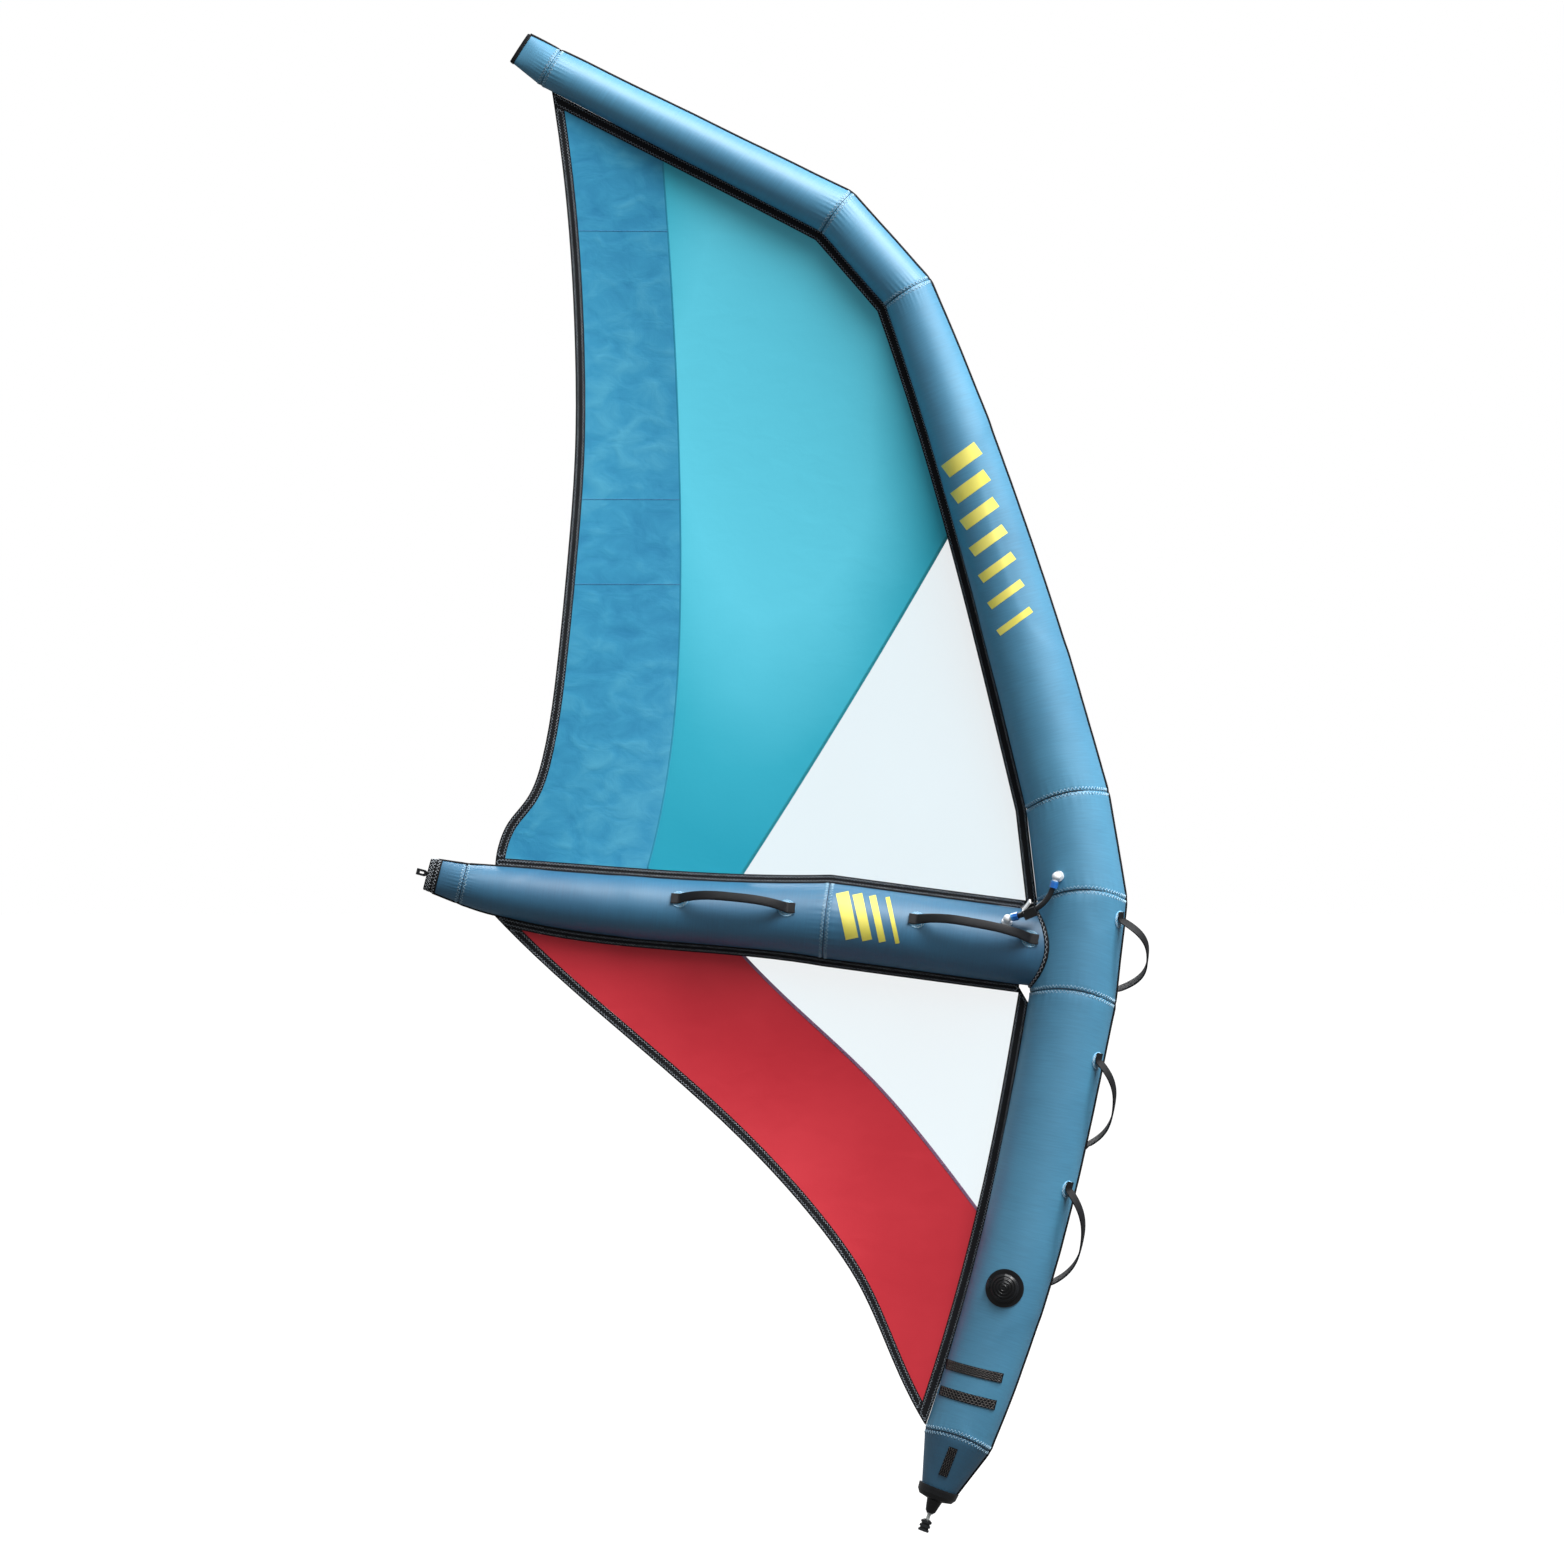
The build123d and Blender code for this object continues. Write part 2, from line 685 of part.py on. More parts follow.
handles = {
    "boom_handle_outer_front": (boom_stations, 0, outer_handle_ends, boom_handle_rise, -1),
    "boom_handle_inner_front": (boom_stations, 0, inner_handle_ends, boom_handle_rise, -1),
    "boom_handle_outer_back": (boom_stations, 0, outer_handle_ends, boom_handle_rise, 1),
    "boom_handle_inner_back": (boom_stations, 0, inner_handle_ends, boom_handle_rise, 1),
}
for name, ends in mast_handle_ends.items():
    handles[name] = (mast_stations, 1, ends, mast_handle_rises[name], -1)

patch_skin = seat_gap + patch_thickness
mast_patch_skin = tube_envelope(mast_stations, mast_sleeves, patch_skin + seat_gap)
boom_patch_skin = tube_envelope(boom_stations, boom_sleeves, patch_skin + seat_gap)
for name, (stations, coordinate, ends, rise, side) in handles.items():
    with BuildPart() as handle:
        loft(webbing_rings(stations, coordinate, ends, rise, side), ruled=True)
        add(boom_patch_skin if stations is boom_stations else mast_patch_skin, mode=Mode.SUBTRACT)
    save(handle, name)

tube_patches = []
for tube, sleeves, skin in (
    (mast_stations, mast_sleeves, mast_skin), (boom_stations, boom_sleeves, boom_skin)
):
    with BuildPart() as patches:
        for stations, coordinate, ends, rise, side in handles.values():
            if stations is tube:
                for share in (0, 1):
                    plane, radius = handle_place(stations, coordinate, ends, side, share)
                    with BuildSketch(plane):
                        Circle(patch_radius)
                    extrude(amount=radius + patch_radius)
        add(tube_envelope(tube, sleeves, patch_skin), mode=Mode.INTERSECT)
        add(skin, mode=Mode.SUBTRACT)
    tube_patches.append(patches.part)
with BuildPart() as handle_patches:
    add(tube_patches)
save(handle_patches, "handle_patches")


# ---- Inflation valve -----------------------------------------------------------------------------

def turning_plane(plane):
    """Plane through an axis: local y runs along the given plane's normal, for revolved profiles."""
    return Plane(origin=plane.origin, x_dir=plane.x_dir, z_dir=plane.x_dir.cross(plane.z_dir))


def turn(plane, *points, mode=Mode.ADD):
    """Revolves a closed outline of radius and height points about a plane's normal."""
    with BuildSketch(turning_plane(plane)) as outline:
        with BuildLine():
            Polyline(*points, close=True)
        make_face()
    revolve(outline.sketch, axis=Axis(plane.origin, plane.z_dir), mode=mode)


skirt_top = seat_gap + valve_skirt_thickness
valve_mouth = valve_radius + valve_mouth_rise
valve_inner_end = valve_radius - valve_barrel_depth
ring_top = valve_radius + skirt_top + valve_ring_thickness
web_top = valve_radius - valve_web_depth
web_base = web_top - valve_web_thickness
nozzle_radius = valve_bore_radius + valve_nozzle_wall

with BuildPart() as valve_flange:
    with BuildSketch(valve_plane):
        Circle(valve_skirt_radius)
        Circle(barrel_hole, mode=Mode.SUBTRACT)
    extrude(amount=valve_mouth)
    add(tube_envelope(mast_stations, mast_sleeves, skirt_top), mode=Mode.INTERSECT)
    add(mast_skin, mode=Mode.SUBTRACT)
save(valve_flange, "valve_flange")

ear_start = hinge_width / 2 + seat_gap
hinge_height = ring_top + hinge_rise
ear_root_depth = hinge_offset - valve_ring_radius + ear_reach + ear_root_overlap
hinge_plane = valve_plane.offset(hinge_height)
with BuildPart() as valve_body:
    turn(
        valve_plane,
        (0, valve_inner_end), (valve_ring_radius, valve_inner_end), (valve_ring_radius, ring_top),
        (nozzle_radius, ring_top), (nozzle_radius, valve_mouth), (0, valve_mouth),
    )
    with BuildSketch(valve_plane.offset(ring_top)):
        for end in (-1, 1):
            with Locations((end * (ear_start + ear_width / 2), valve_ring_radius - ear_root_overlap)):
                Rectangle(ear_width, ear_root_depth, align=(Align.CENTER, Align.MIN))
    extrude(amount=-skirt_top)
    add(tube_envelope(mast_stations, mast_sleeves, skirt_top + seat_gap), mode=Mode.SUBTRACT)
    turn(
        valve_plane,
        (0, valve_inner_end), (valve_barrel_radius, valve_inner_end),
        (valve_barrel_radius, ring_top), (0, ring_top),
    )
    with BuildSketch(valve_plane.offset(ring_top)):
        for end in (-1, 1):
            with Locations((end * (ear_start + ear_width / 2), hinge_offset + ear_reach)):
                Rectangle(ear_width, ear_depth, align=(Align.CENTER, Align.MAX))
    extrude(amount=hinge_height - ring_top + hinge_knuckle_radius)
    with BuildSketch(valve_plane.offset(valve_inner_end)):
        Circle(valve_bore_radius)
    extrude(amount=web_base - valve_inner_end, mode=Mode.SUBTRACT)
    with BuildSketch(valve_plane.offset(web_top)):
        Circle(valve_bore_radius)
    extrude(amount=valve_mouth - web_top, mode=Mode.SUBTRACT)
    with BuildSketch(valve_plane.offset(web_base)):
        Circle(plunger_radius + seat_gap)
        with PolarLocations(web_slot_circle, 4):
            Circle(web_slot_radius)
    extrude(amount=valve_web_thickness, mode=Mode.SUBTRACT)
    with BuildSketch(Plane(hinge_plane.origin, x_dir=hinge_plane.y_dir, z_dir=hinge_plane.x_dir)):
        with Locations((hinge_offset, 0)):
            Circle(hinge_pin_radius)
    extrude(amount=ear_start + ear_width, both=True)
save(valve_body, "valve_body")

button_top = valve_mouth - button_depth
button_base = button_top - button_height
with BuildPart() as valve_plunger:
    turn(
        valve_plane,
        (0, valve_inner_end - seat_gap - plunger_seal_height),
        (plunger_seal_radius, valve_inner_end - seat_gap - plunger_seal_height),
        (plunger_seal_radius, valve_inner_end - seat_gap),
        (plunger_radius, valve_inner_end - seat_gap),
        (plunger_radius, button_base), (plunger_button_radius, button_base),
        (plunger_button_radius, button_top), (0, button_top),
    )
save(valve_plunger, "valve_plunger")

spring_base = web_top + spring_wire + seat_gap
spring_height = button_base - spring_wire - seat_gap - spring_base
with BuildPart() as valve_spring:
    with BuildLine() as spring_path:
        Helix(
            pitch=spring_height / spring_turns, height=spring_height, radius=spring_radius,
            center=valve_plane.offset(spring_base).origin, direction=valve_plane.z_dir,
        )
    with BuildSketch(Plane(spring_path.line @ 0, z_dir=spring_path.line % 0)):
        Circle(spring_wire)
    sweep(is_frenet=True)
save(valve_spring, "valve_spring")

cap_base = ring_top + seat_gap
cap_top = cap_base + cap_height
cap_shoulder = cap_base + cap_side


def dome_height(radius):
    """Height of the cap's domed top at this distance from its centre."""
    return cap_shoulder + (cap_top - cap_shoulder) * (1 - (radius / cap_radius) ** 2)


cap_inner_radius = cap_radius - cap_wall
inner_middle = cap_inner_radius / 2
inner_top = dome_height(0) - cap_wall
with BuildPart() as valve_cap:
    with BuildSketch(turning_plane(valve_plane)) as cap_outline:
        with BuildLine():
            start = (cap_radius, cap_shoulder)
            for rib in cap_rib_radii:
                near = (rib + cap_rib_half_width, dome_height(rib + cap_rib_half_width))
                middle = (start[0] + near[0]) / 2
                ThreePointArc(start, (middle, dome_height(middle)), near)
                start = (rib - cap_rib_half_width, dome_height(rib - cap_rib_half_width))
                ThreePointArc(near, (rib, dome_height(rib) + cap_rib_rise), start)
            ThreePointArc(start, (start[0] / 2, dome_height(start[0] / 2)), (0, cap_top))
            Line((0, cap_top), (0, inner_top))
            Spline(
                (0, inner_top), (inner_middle, dome_height(inner_middle) - cap_wall),
                (cap_inner_radius, cap_shoulder - cap_side / 4),
            )
            Line((cap_inner_radius, cap_shoulder - cap_side / 4), (cap_inner_radius, cap_base))
            Line((cap_inner_radius, cap_base), (cap_radius, cap_base))
            Line((cap_radius, cap_base), (cap_radius, cap_shoulder))
        make_face()
    revolve(cap_outline.sketch, axis=Axis(valve_plane.origin, valve_plane.z_dir))
    with BuildSketch(Plane(hinge_plane.origin, x_dir=hinge_plane.y_dir, z_dir=hinge_plane.x_dir)):
        with Locations((hinge_offset, 0)):
            Circle(hinge_knuckle_radius)
        with Locations((cap_radius - hinge_strap_overlap, 0)):
            Rectangle(
                hinge_offset - cap_radius + hinge_strap_overlap, cap_wall, align=(Align.MIN, Align.CENTER)
            )
        with Locations((hinge_offset, 0)):
            Circle(hinge_pin_radius + hinge_clearance, mode=Mode.SUBTRACT)
    extrude(amount=hinge_width / 2, both=True)
save(valve_cap, "valve_cap")


# ---- Hose between the air chambers ---------------------------------------------------------------

def hose_fitting(port_plane, radius, skin, hose_point):
    """A white elbow on its welded base. Gives the fitting and the way the hose leaves it."""
    centre = port_plane.origin + port_plane.z_dir * (radius + port_reach)
    way = (Vector(*hose_point) - centre).normalized()
    with BuildPart() as fitting:
        with BuildSketch(port_plane.offset(radius - port_base_radius)):
            Circle(port_base_radius)
        extrude(amount=port_base_radius + port_base_height)
        add(skin, mode=Mode.SUBTRACT)
        with BuildSketch(port_plane.offset(radius - 2 * port_base_height)):
            Circle(port_riser_radius)
        extrude(amount=2 * port_base_height + port_reach)
        with Locations(Plane(origin=centre, z_dir=way).location):
            Sphere(elbow_radius)
        with BuildSketch(Plane(origin=centre, z_dir=way)):
            Circle(hose_radius + collar_clearance)
        extrude(amount=spigot_length)
    return fitting, centre, way


mast_hose_fitting, mast_elbow, mast_way = hose_fitting(
    mast_port_plane, mast_port_radius, mast_skin, hose_points[0]
)
save(mast_hose_fitting, "mast_hose_fitting")
boom_hose_fitting, boom_elbow, boom_way = hose_fitting(
    boom_port_plane, boom_port_radius, boom_skin, hose_points[-1]
)
save(boom_hose_fitting, "boom_hose_fitting")

for name, elbow, way in (
    ("mast_hose_collar", mast_elbow, mast_way),
    ("boom_hose_collar", boom_elbow, boom_way),
):
    with BuildPart() as collar:
        with BuildSketch(Plane(origin=elbow + way * (spigot_length + collar_clearance), z_dir=way)):
            RegularPolygon(collar_radius, collar_sides)
            Circle(hose_radius + collar_clearance, mode=Mode.SUBTRACT)
        extrude(amount=collar_length)
    save(collar, name)

hose_route = [
    mast_elbow + mast_way * spigot_length,
    *[Vector(*point) for point in hose_points],
    boom_elbow + boom_way * spigot_length,
]
hose_radii = []
for before, corner, after in zip(hose_route, hose_route[1:], hose_route[2:]):
    half_turn = radians((corner - before).get_angle(after - corner) / 2)
    shorter_run = min((corner - before).length, (after - corner).length)
    hose_radii.append(0.45 * shorter_run * cos(half_turn) / sin(half_turn))
with BuildPart() as air_hose:
    with BuildLine() as hose_line:
        FilletPolyline(*hose_route, radius=hose_radii)
    with BuildSketch(Plane(hose_line.line @ 0, z_dir=hose_line.line % 0)):
        Circle(hose_radius)
    sweep()
save(air_hose, "air_hose")
hose_length = hose_line.wires()[0].length
hose_share = air_hose.part.volume / (pi * hose_radius**2 * hose_length)
print(f"hose length {hose_length:.1f}, volume share {hose_share:.4f}")
print("hose bend radii", [round(radius, 1) for radius in hose_radii])

clamp_run = (hose_route[4] - hose_route[3]).normalized()
clamp_centre = (hose_route[3] + hose_route[4]) * 0.5
opening = Vector(*clamp_opening)
opening = (opening - clamp_run * opening.dot(clamp_run)).normalized()
clamp_plane = Plane(origin=clamp_centre, x_dir=opening.cross(clamp_run), z_dir=clamp_run)
channel_half = hose_radius + clamp_channel_gap
wall_top = hose_radius + clamp_wall_rise
lever_base = channel_half + lever_clearance
pin_height = lever_base + lever_thickness / 2
pin_place = clamp_length / 2 - lever_pin_inset
pin_origin = clamp_centre + opening * pin_height + clamp_run * pin_place
pin_plane = Plane(origin=pin_origin, x_dir=clamp_run, z_dir=clamp_plane.x_dir)

with BuildPart() as hose_clamp_body:
    with BuildSketch(clamp_plane):
        with Locations((0, -channel_half - clamp_wall)):
            Rectangle(
                2 * (channel_half + clamp_wall), channel_half + clamp_wall + wall_top,
                align=(Align.CENTER, Align.MIN),
            )
        with Locations((0, -channel_half)):
            Rectangle(2 * channel_half, channel_half + 2 * wall_top, align=(Align.CENTER, Align.MIN),
                      mode=Mode.SUBTRACT)
    extrude(amount=clamp_length / 2, both=True)
    with BuildSketch(pin_plane):
        Circle(lever_pin_radius)
    extrude(amount=2 * channel_half, both=True, mode=Mode.SUBTRACT)
save(hose_clamp_body, "hose_clamp_body")

with BuildPart() as hose_clamp_pin:
    with BuildSketch(pin_plane):
        Circle(lever_pin_radius)
    extrude(amount=channel_half + clamp_wall, both=True)
save(hose_clamp_pin, "hose_clamp_pin")

lever_half_width = channel_half - lever_clearance
lever_turn = radians(lever_open_angle)
lever_plane = Plane(
    origin=pin_origin, x_dir=clamp_run * cos(lever_turn) - opening * sin(lever_turn),
    z_dir=clamp_plane.x_dir,
)
with BuildPart() as hose_clamp_lever:
    with BuildSketch(lever_plane):
        with Locations((lever_thickness / 2, 0)):
            Rectangle(clamp_length, lever_thickness, align=(Align.MAX, Align.CENTER))
        Circle(lever_knuckle_radius)
        Circle(lever_pin_radius + lever_clearance / 4, mode=Mode.SUBTRACT)
    extrude(amount=lever_half_width, both=True)
save(hose_clamp_lever, "hose_clamp_lever")


# ---- Foot fitting --------------------------------------------------------------------------------

foot_plane = Plane(origin=(0, 0, 0), x_dir=(0, 1, 0), z_dir=foot_run)
cone_slope = (foot_seam_radius - foot_end_radius) / (foot_seam_rise - foot_end_rise)
cup_floor_rise = foot_end_rise - seat_gap
cup_inner_radius = foot_end_radius + seat_gap
cup_mouth_radius = cup_inner_radius + cone_slope * (cup_rim_rise - foot_end_rise)
head_top = pin_head_seat + pin_head_height

with BuildPart() as foot_cup:
    turn(
        foot_plane,
        (0, neck_end_rise), (neck_end_radius, neck_end_rise), (neck_low_radius, neck_low_rise),
        (neck_top_radius, neck_top_rise), (cup_base_radius, cup_base_rise),
        (cup_radius - cup_shoulder_inset, cup_shoulder_rise), (cup_radius, cup_rim_rise), (0, cup_rim_rise),
    )
    turn(
        foot_plane,
        (0, cup_floor_rise), (cup_inner_radius, cup_floor_rise), (cup_mouth_radius, cup_rim_rise),
        (0, cup_rim_rise),
        mode=Mode.SUBTRACT,
    )
    with BuildSketch(foot_plane.offset(pin_head_seat)):
        Circle(pin_head_radius + seat_gap)
    extrude(amount=cup_floor_rise - pin_head_seat, mode=Mode.SUBTRACT)
    with BuildSketch(foot_plane):
        Circle(pin_radius + pin_clearance)
    extrude(amount=pin_head_seat, mode=Mode.SUBTRACT)
save(foot_cup, "foot_cup")

collar_top = neck_end_rise - seat_gap
collar_base = collar_top - pin_collar_height
with BuildPart() as foot_pin:
    turn(
        foot_plane,
        (0, collar_base), (pin_collar_radius, collar_base), (pin_collar_radius, collar_top),
        (pin_radius, collar_top), (pin_radius, pin_head_seat + pin_clearance),
        (pin_head_radius, pin_head_seat + pin_clearance), (pin_head_radius, head_top), (0, head_top),
    )
save(foot_pin, "foot_pin")

tendon_end_radius = tendon_radius + tendon_flare
with BuildPart() as foot_tendon:
    with BuildSketch(turning_plane(foot_plane)):
        with BuildLine():
            Line((0, plug_top_rise), (tendon_end_radius, plug_top_rise))
            ThreePointArc(
                (tendon_end_radius, plug_top_rise),
                (tendon_radius, (plug_top_rise + collar_base) / 2),
                (tendon_end_radius, collar_base),
            )
            Line((tendon_end_radius, collar_base), (0, collar_base))
            Line((0, collar_base), (0, plug_top_rise))
        make_face()
    revolve(axis=Axis((0, 0, 0), foot_run))
save(foot_tendon, "foot_tendon")

plug_taper_rise = plug_top_rise - plug_taper_height
plug_core_radius = plug_radius - plug_groove_depth
rib_pitch = (plug_taper_rise - plug_rib_height) / (plug_rib_count - 1)
with BuildPart() as base_plug:
    turn(
        foot_plane,
        (0, 0), (plug_core_radius, 0), (plug_core_radius, plug_taper_rise), (neck_end_radius, plug_top_rise),
        (0, plug_top_rise),
    )
    for rib in range(plug_rib_count):
        with BuildSketch(foot_plane.offset(rib * rib_pitch)):
            Circle(plug_radius)
        extrude(amount=plug_rib_height)
    with BuildSketch(foot_plane):
        Circle(insert_radius)
    extrude(amount=insert_length, mode=Mode.SUBTRACT)
save(base_plug, "base_plug")

with BuildPart() as base_insert:
    with BuildSketch(foot_plane):
        Circle(insert_radius)
        Circle(socket_radius, mode=Mode.SUBTRACT)
    extrude(amount=insert_length)
save(base_insert, "base_insert")
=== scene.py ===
import math

import bmesh
import bpy
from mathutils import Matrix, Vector
from mathutils.bvhtree import BVHTree
from mathutils.geometry import delaunay_2d_cdt
from mathutils.noise import noise


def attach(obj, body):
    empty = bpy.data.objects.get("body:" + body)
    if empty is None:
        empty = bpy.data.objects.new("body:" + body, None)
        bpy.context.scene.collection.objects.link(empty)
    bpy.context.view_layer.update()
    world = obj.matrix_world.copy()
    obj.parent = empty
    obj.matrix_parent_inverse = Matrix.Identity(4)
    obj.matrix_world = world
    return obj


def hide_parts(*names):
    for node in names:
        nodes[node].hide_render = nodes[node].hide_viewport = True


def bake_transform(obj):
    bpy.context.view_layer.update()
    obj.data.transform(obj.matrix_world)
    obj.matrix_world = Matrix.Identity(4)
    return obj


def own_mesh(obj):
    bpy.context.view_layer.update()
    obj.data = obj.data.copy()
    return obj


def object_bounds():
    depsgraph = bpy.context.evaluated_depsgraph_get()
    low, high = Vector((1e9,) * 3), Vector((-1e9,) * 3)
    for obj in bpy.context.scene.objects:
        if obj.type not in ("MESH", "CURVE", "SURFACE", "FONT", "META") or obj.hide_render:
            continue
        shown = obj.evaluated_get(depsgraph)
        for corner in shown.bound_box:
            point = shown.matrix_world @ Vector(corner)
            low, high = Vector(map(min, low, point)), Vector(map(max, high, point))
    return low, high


# Inflatable windsurf rig, in metres: +Z up the sail, +X towards the leading edge, and -Y the side
# that carries the valve and the hose.
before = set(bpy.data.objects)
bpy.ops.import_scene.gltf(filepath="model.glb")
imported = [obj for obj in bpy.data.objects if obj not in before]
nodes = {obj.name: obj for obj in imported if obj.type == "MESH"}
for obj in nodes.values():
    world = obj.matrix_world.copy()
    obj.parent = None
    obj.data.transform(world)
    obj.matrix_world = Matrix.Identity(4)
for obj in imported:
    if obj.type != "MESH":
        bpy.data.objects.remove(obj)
cad_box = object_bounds()


# ---- Mast tube -----------------------------------------------------------------------------------
# The mast is an air tube cut from coated polyester cloth as eight gores and sewn end to end, so
# that it bends at each ring seam. The cloth is satin, with a fine plain weave, and puckers a little
# at the seams, where the air pulls it tight between the needle holes.

# Rings from the foot to the tip: x, z, half height, half depth in Y, how far the ring arches up the
# tube on its sides, and the sleeve that starts there
MAST_RINGS = [
    (0.0301, 0.0806, 0.036, 0.036, 0.000, "mast_foot_cone"),
    (0.0802, 0.2145, 0.080, 0.080, 0.014, "mast_lower_sleeve"),
    (0.199, 0.569, 0.091, 0.091, 0.000, None),
    (0.285, 0.920, 0.096, 0.096, 0.000, None),
    (0.349, 1.247, 0.100, 0.100, 0.022, "mast_junction_sleeve"),
    (0.371, 1.475, 0.104, 0.104, 0.028, "mast_shoulder_sleeve"),
    (0.337, 1.709, 0.097, 0.097, 0.020, "mast_middle_sleeve"),
    (0.259, 2.001, 0.091, 0.091, 0.000, None),
    (0.075, 2.600, 0.071, 0.071, 0.000, None),
    (-0.036, 2.898, 0.0595, 0.0595, 0.004, "mast_bend_sleeve"),
    (-0.202, 3.086, 0.058, 0.058, 0.003, "mast_head_sleeve"),
    (-0.871, 3.423, 0.047, 0.047, 0.002, "mast_tip_cap"),
    (-0.943, 3.470, 0.038, 0.009, 0.000, None),
]
AROUND = 128                # points round a tube
RING_STEP = 0.009           # between rings along a tube
SEAM_ROWS = [0.0, 0.0015, 0.003, 0.005, 0.0075, 0.011, 0.015, 0.020, 0.026, 0.033]  # beside a seam
SETTLE_LIMIT = 0.006        # the farthest that a point is moved onto the CAD surface
SETTLE_PASSES = 6
PUCKER_REACH = 0.035        # how far the puckers run from a seam
PUCKER_DEPTH = 0.0009
PUCKER_COUNT = 36           # round the tube
SEAM_PINCH = 0.0016         # how deep the sewing pulls the cloth in
PINCH_REACH = 0.006
SOFT_DENT = 0.0010          # slow hollows and swells of the cloth
DENT_SCALE = 6
FINE_DENT_SCALE = 22        # of a third of the depth
MAST_SEED = 3.0


def tube_line(rings):
    """The tube's centres, directions across it and along it, and its half sizes, at each ring."""
    line = []
    for index, (x, z, radius, depth, arch, name) in enumerate(rings):
        along = Vector((0, 0, 0))
        near = rings[max(index - 1, 0):index + 2]
        for a, b in zip(near, near[1:]):
            along += Vector((b[0] - a[0], 0, b[1] - a[1])).normalized()
        along.normalize()
        line.append((Vector((x, 0, z)), along, radius, depth, arch))
    return line


def circle(count):
    """The cosine and sine of each step round a circle."""
    turns = [2 * math.pi * step / count for step in range(count)]
    return [(math.cos(turn), math.sin(turn)) for turn in turns]


def middle_of(points):
    """The mean of some points."""
    return sum(points, Vector()) / len(points)


def ring_points(centre, along, radius, depth, arch, count=AROUND):
    """Points round one ring, from the leading edge over -Y; the sides arch along the tube."""
    across = Vector((along.z, 0, -along.x))
    return [
        centre + across * (radius * cos) + Vector((0, -depth * sin, 0)) + along * (arch * sin ** 2)
        for cos, sin in circle(count)
    ]


def smooth_between(values, at):
    """A smooth curve through values at whole numbers, read at a place between them."""
    index = min(int(at), len(values) - 2)
    share = at - index
    before, first = values[max(index - 1, 0)], values[index]
    second, after = values[index + 1], values[min(index + 2, len(values) - 1)]
    slope_a, slope_b = (second - before) * 0.5, (after - first) * 0.5
    if index == 0:
        slope_a = second - first
    if index + 2 >= len(values):
        slope_b = second - first
    a, b = share * share * (3 - 2 * share), share * (share - 1)
    return first * (1 - a) + second * a + slope_a * b * (share - 1) + slope_b * b * share


def surface_tree(meshes):
    """A tree of the faces of some meshes, and their corners."""
    corners, faces = [], []
    for mesh in meshes:
        faces += [[index + len(corners) for index in face.vertices] for face in mesh.polygons]
        corners += [vert.co.copy() for vert in mesh.vertices]
    return BVHTree.FromPolygons(corners, faces), corners


def new_object(name, data):
    """An object at the origin that holds a mesh, a curve, a lamp or a camera."""
    thing = bpy.data.objects.new(name, data)
    bpy.context.collection.objects.link(thing)
    return thing


def new_piece(name, points, faces, body="sail"):
    """A piece at the origin from points and faces, that rides on a body."""
    mesh = bpy.data.meshes.new(name)
    mesh.from_pydata([tuple(point) for point in points], [], faces)
    mesh.update()
    mesh.shade_smooth()
    piece = new_object(name, mesh)
    if body:
        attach(piece, body)
    return piece


def ring_piece(name, rows, close_start, close_end, body="sail"):
    """A piece over a grid of rings, outward, with its ends closed where asked."""
    count, last = len(rows[0]), len(rows) - 1
    faces = []
    for row in range(last):
        for index in range(count):
            a, b = row * count + index, row * count + (index + 1) % count
            faces.append((a, a + count, b + count, b))
    if close_start:
        faces.append(tuple(range(count)))
    if close_end:
        faces.append(tuple(reversed(range(last * count, last * count + count))))
    return new_piece(name, [point for row in rows for point in row], faces, body)


def dress(piece, material, node=None):
    """Gives a piece its material, and hides the CAD node that it stands for."""
    piece.data.materials.append(material)
    if node:
        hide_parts(node)


def row_places(total):
    """Distances of a sleeve's rows from its start: closer together beside both of its seams."""
    middle = total - 2 * SEAM_ROWS[-1]
    steps = max(1, round(middle / RING_STEP))
    inner = [SEAM_ROWS[-1] + middle * step / steps for step in range(1, steps)]
    return SEAM_ROWS + inner + [total - gap for gap in reversed(SEAM_ROWS)]


def tube_grid(rings, first, last):
    """Rings of points along a tube from seam first to seam last, and each one's gaps to them."""
    part = tube_line(rings)[first:last + 1]
    run = [(b[0] - a[0]).length for a, b in zip(part, part[1:])]
    total = sum(run)
    rows, gaps = [], []
    for place in row_places(total):
        index, done = 0, 0.0
        while index < len(run) - 1 and place > done + run[index]:
            done += run[index]
            index += 1
        share = min(1.0, (place - done) / run[index])
        at = index + share
        centre = smooth_between([p[0] for p in part], at)
        along = (part[index][1] * (1 - share) + part[index + 1][1] * share).normalized()
        radius = smooth_between([p[2] for p in part], at)
        depth = smooth_between([p[3] for p in part], at)
        arch = part[index][4] * (1 - share) + part[index + 1][4] * share
        rows.append(ring_points(centre, along, radius, depth, arch))
        gaps.append((place, total - place))
    return rows, gaps


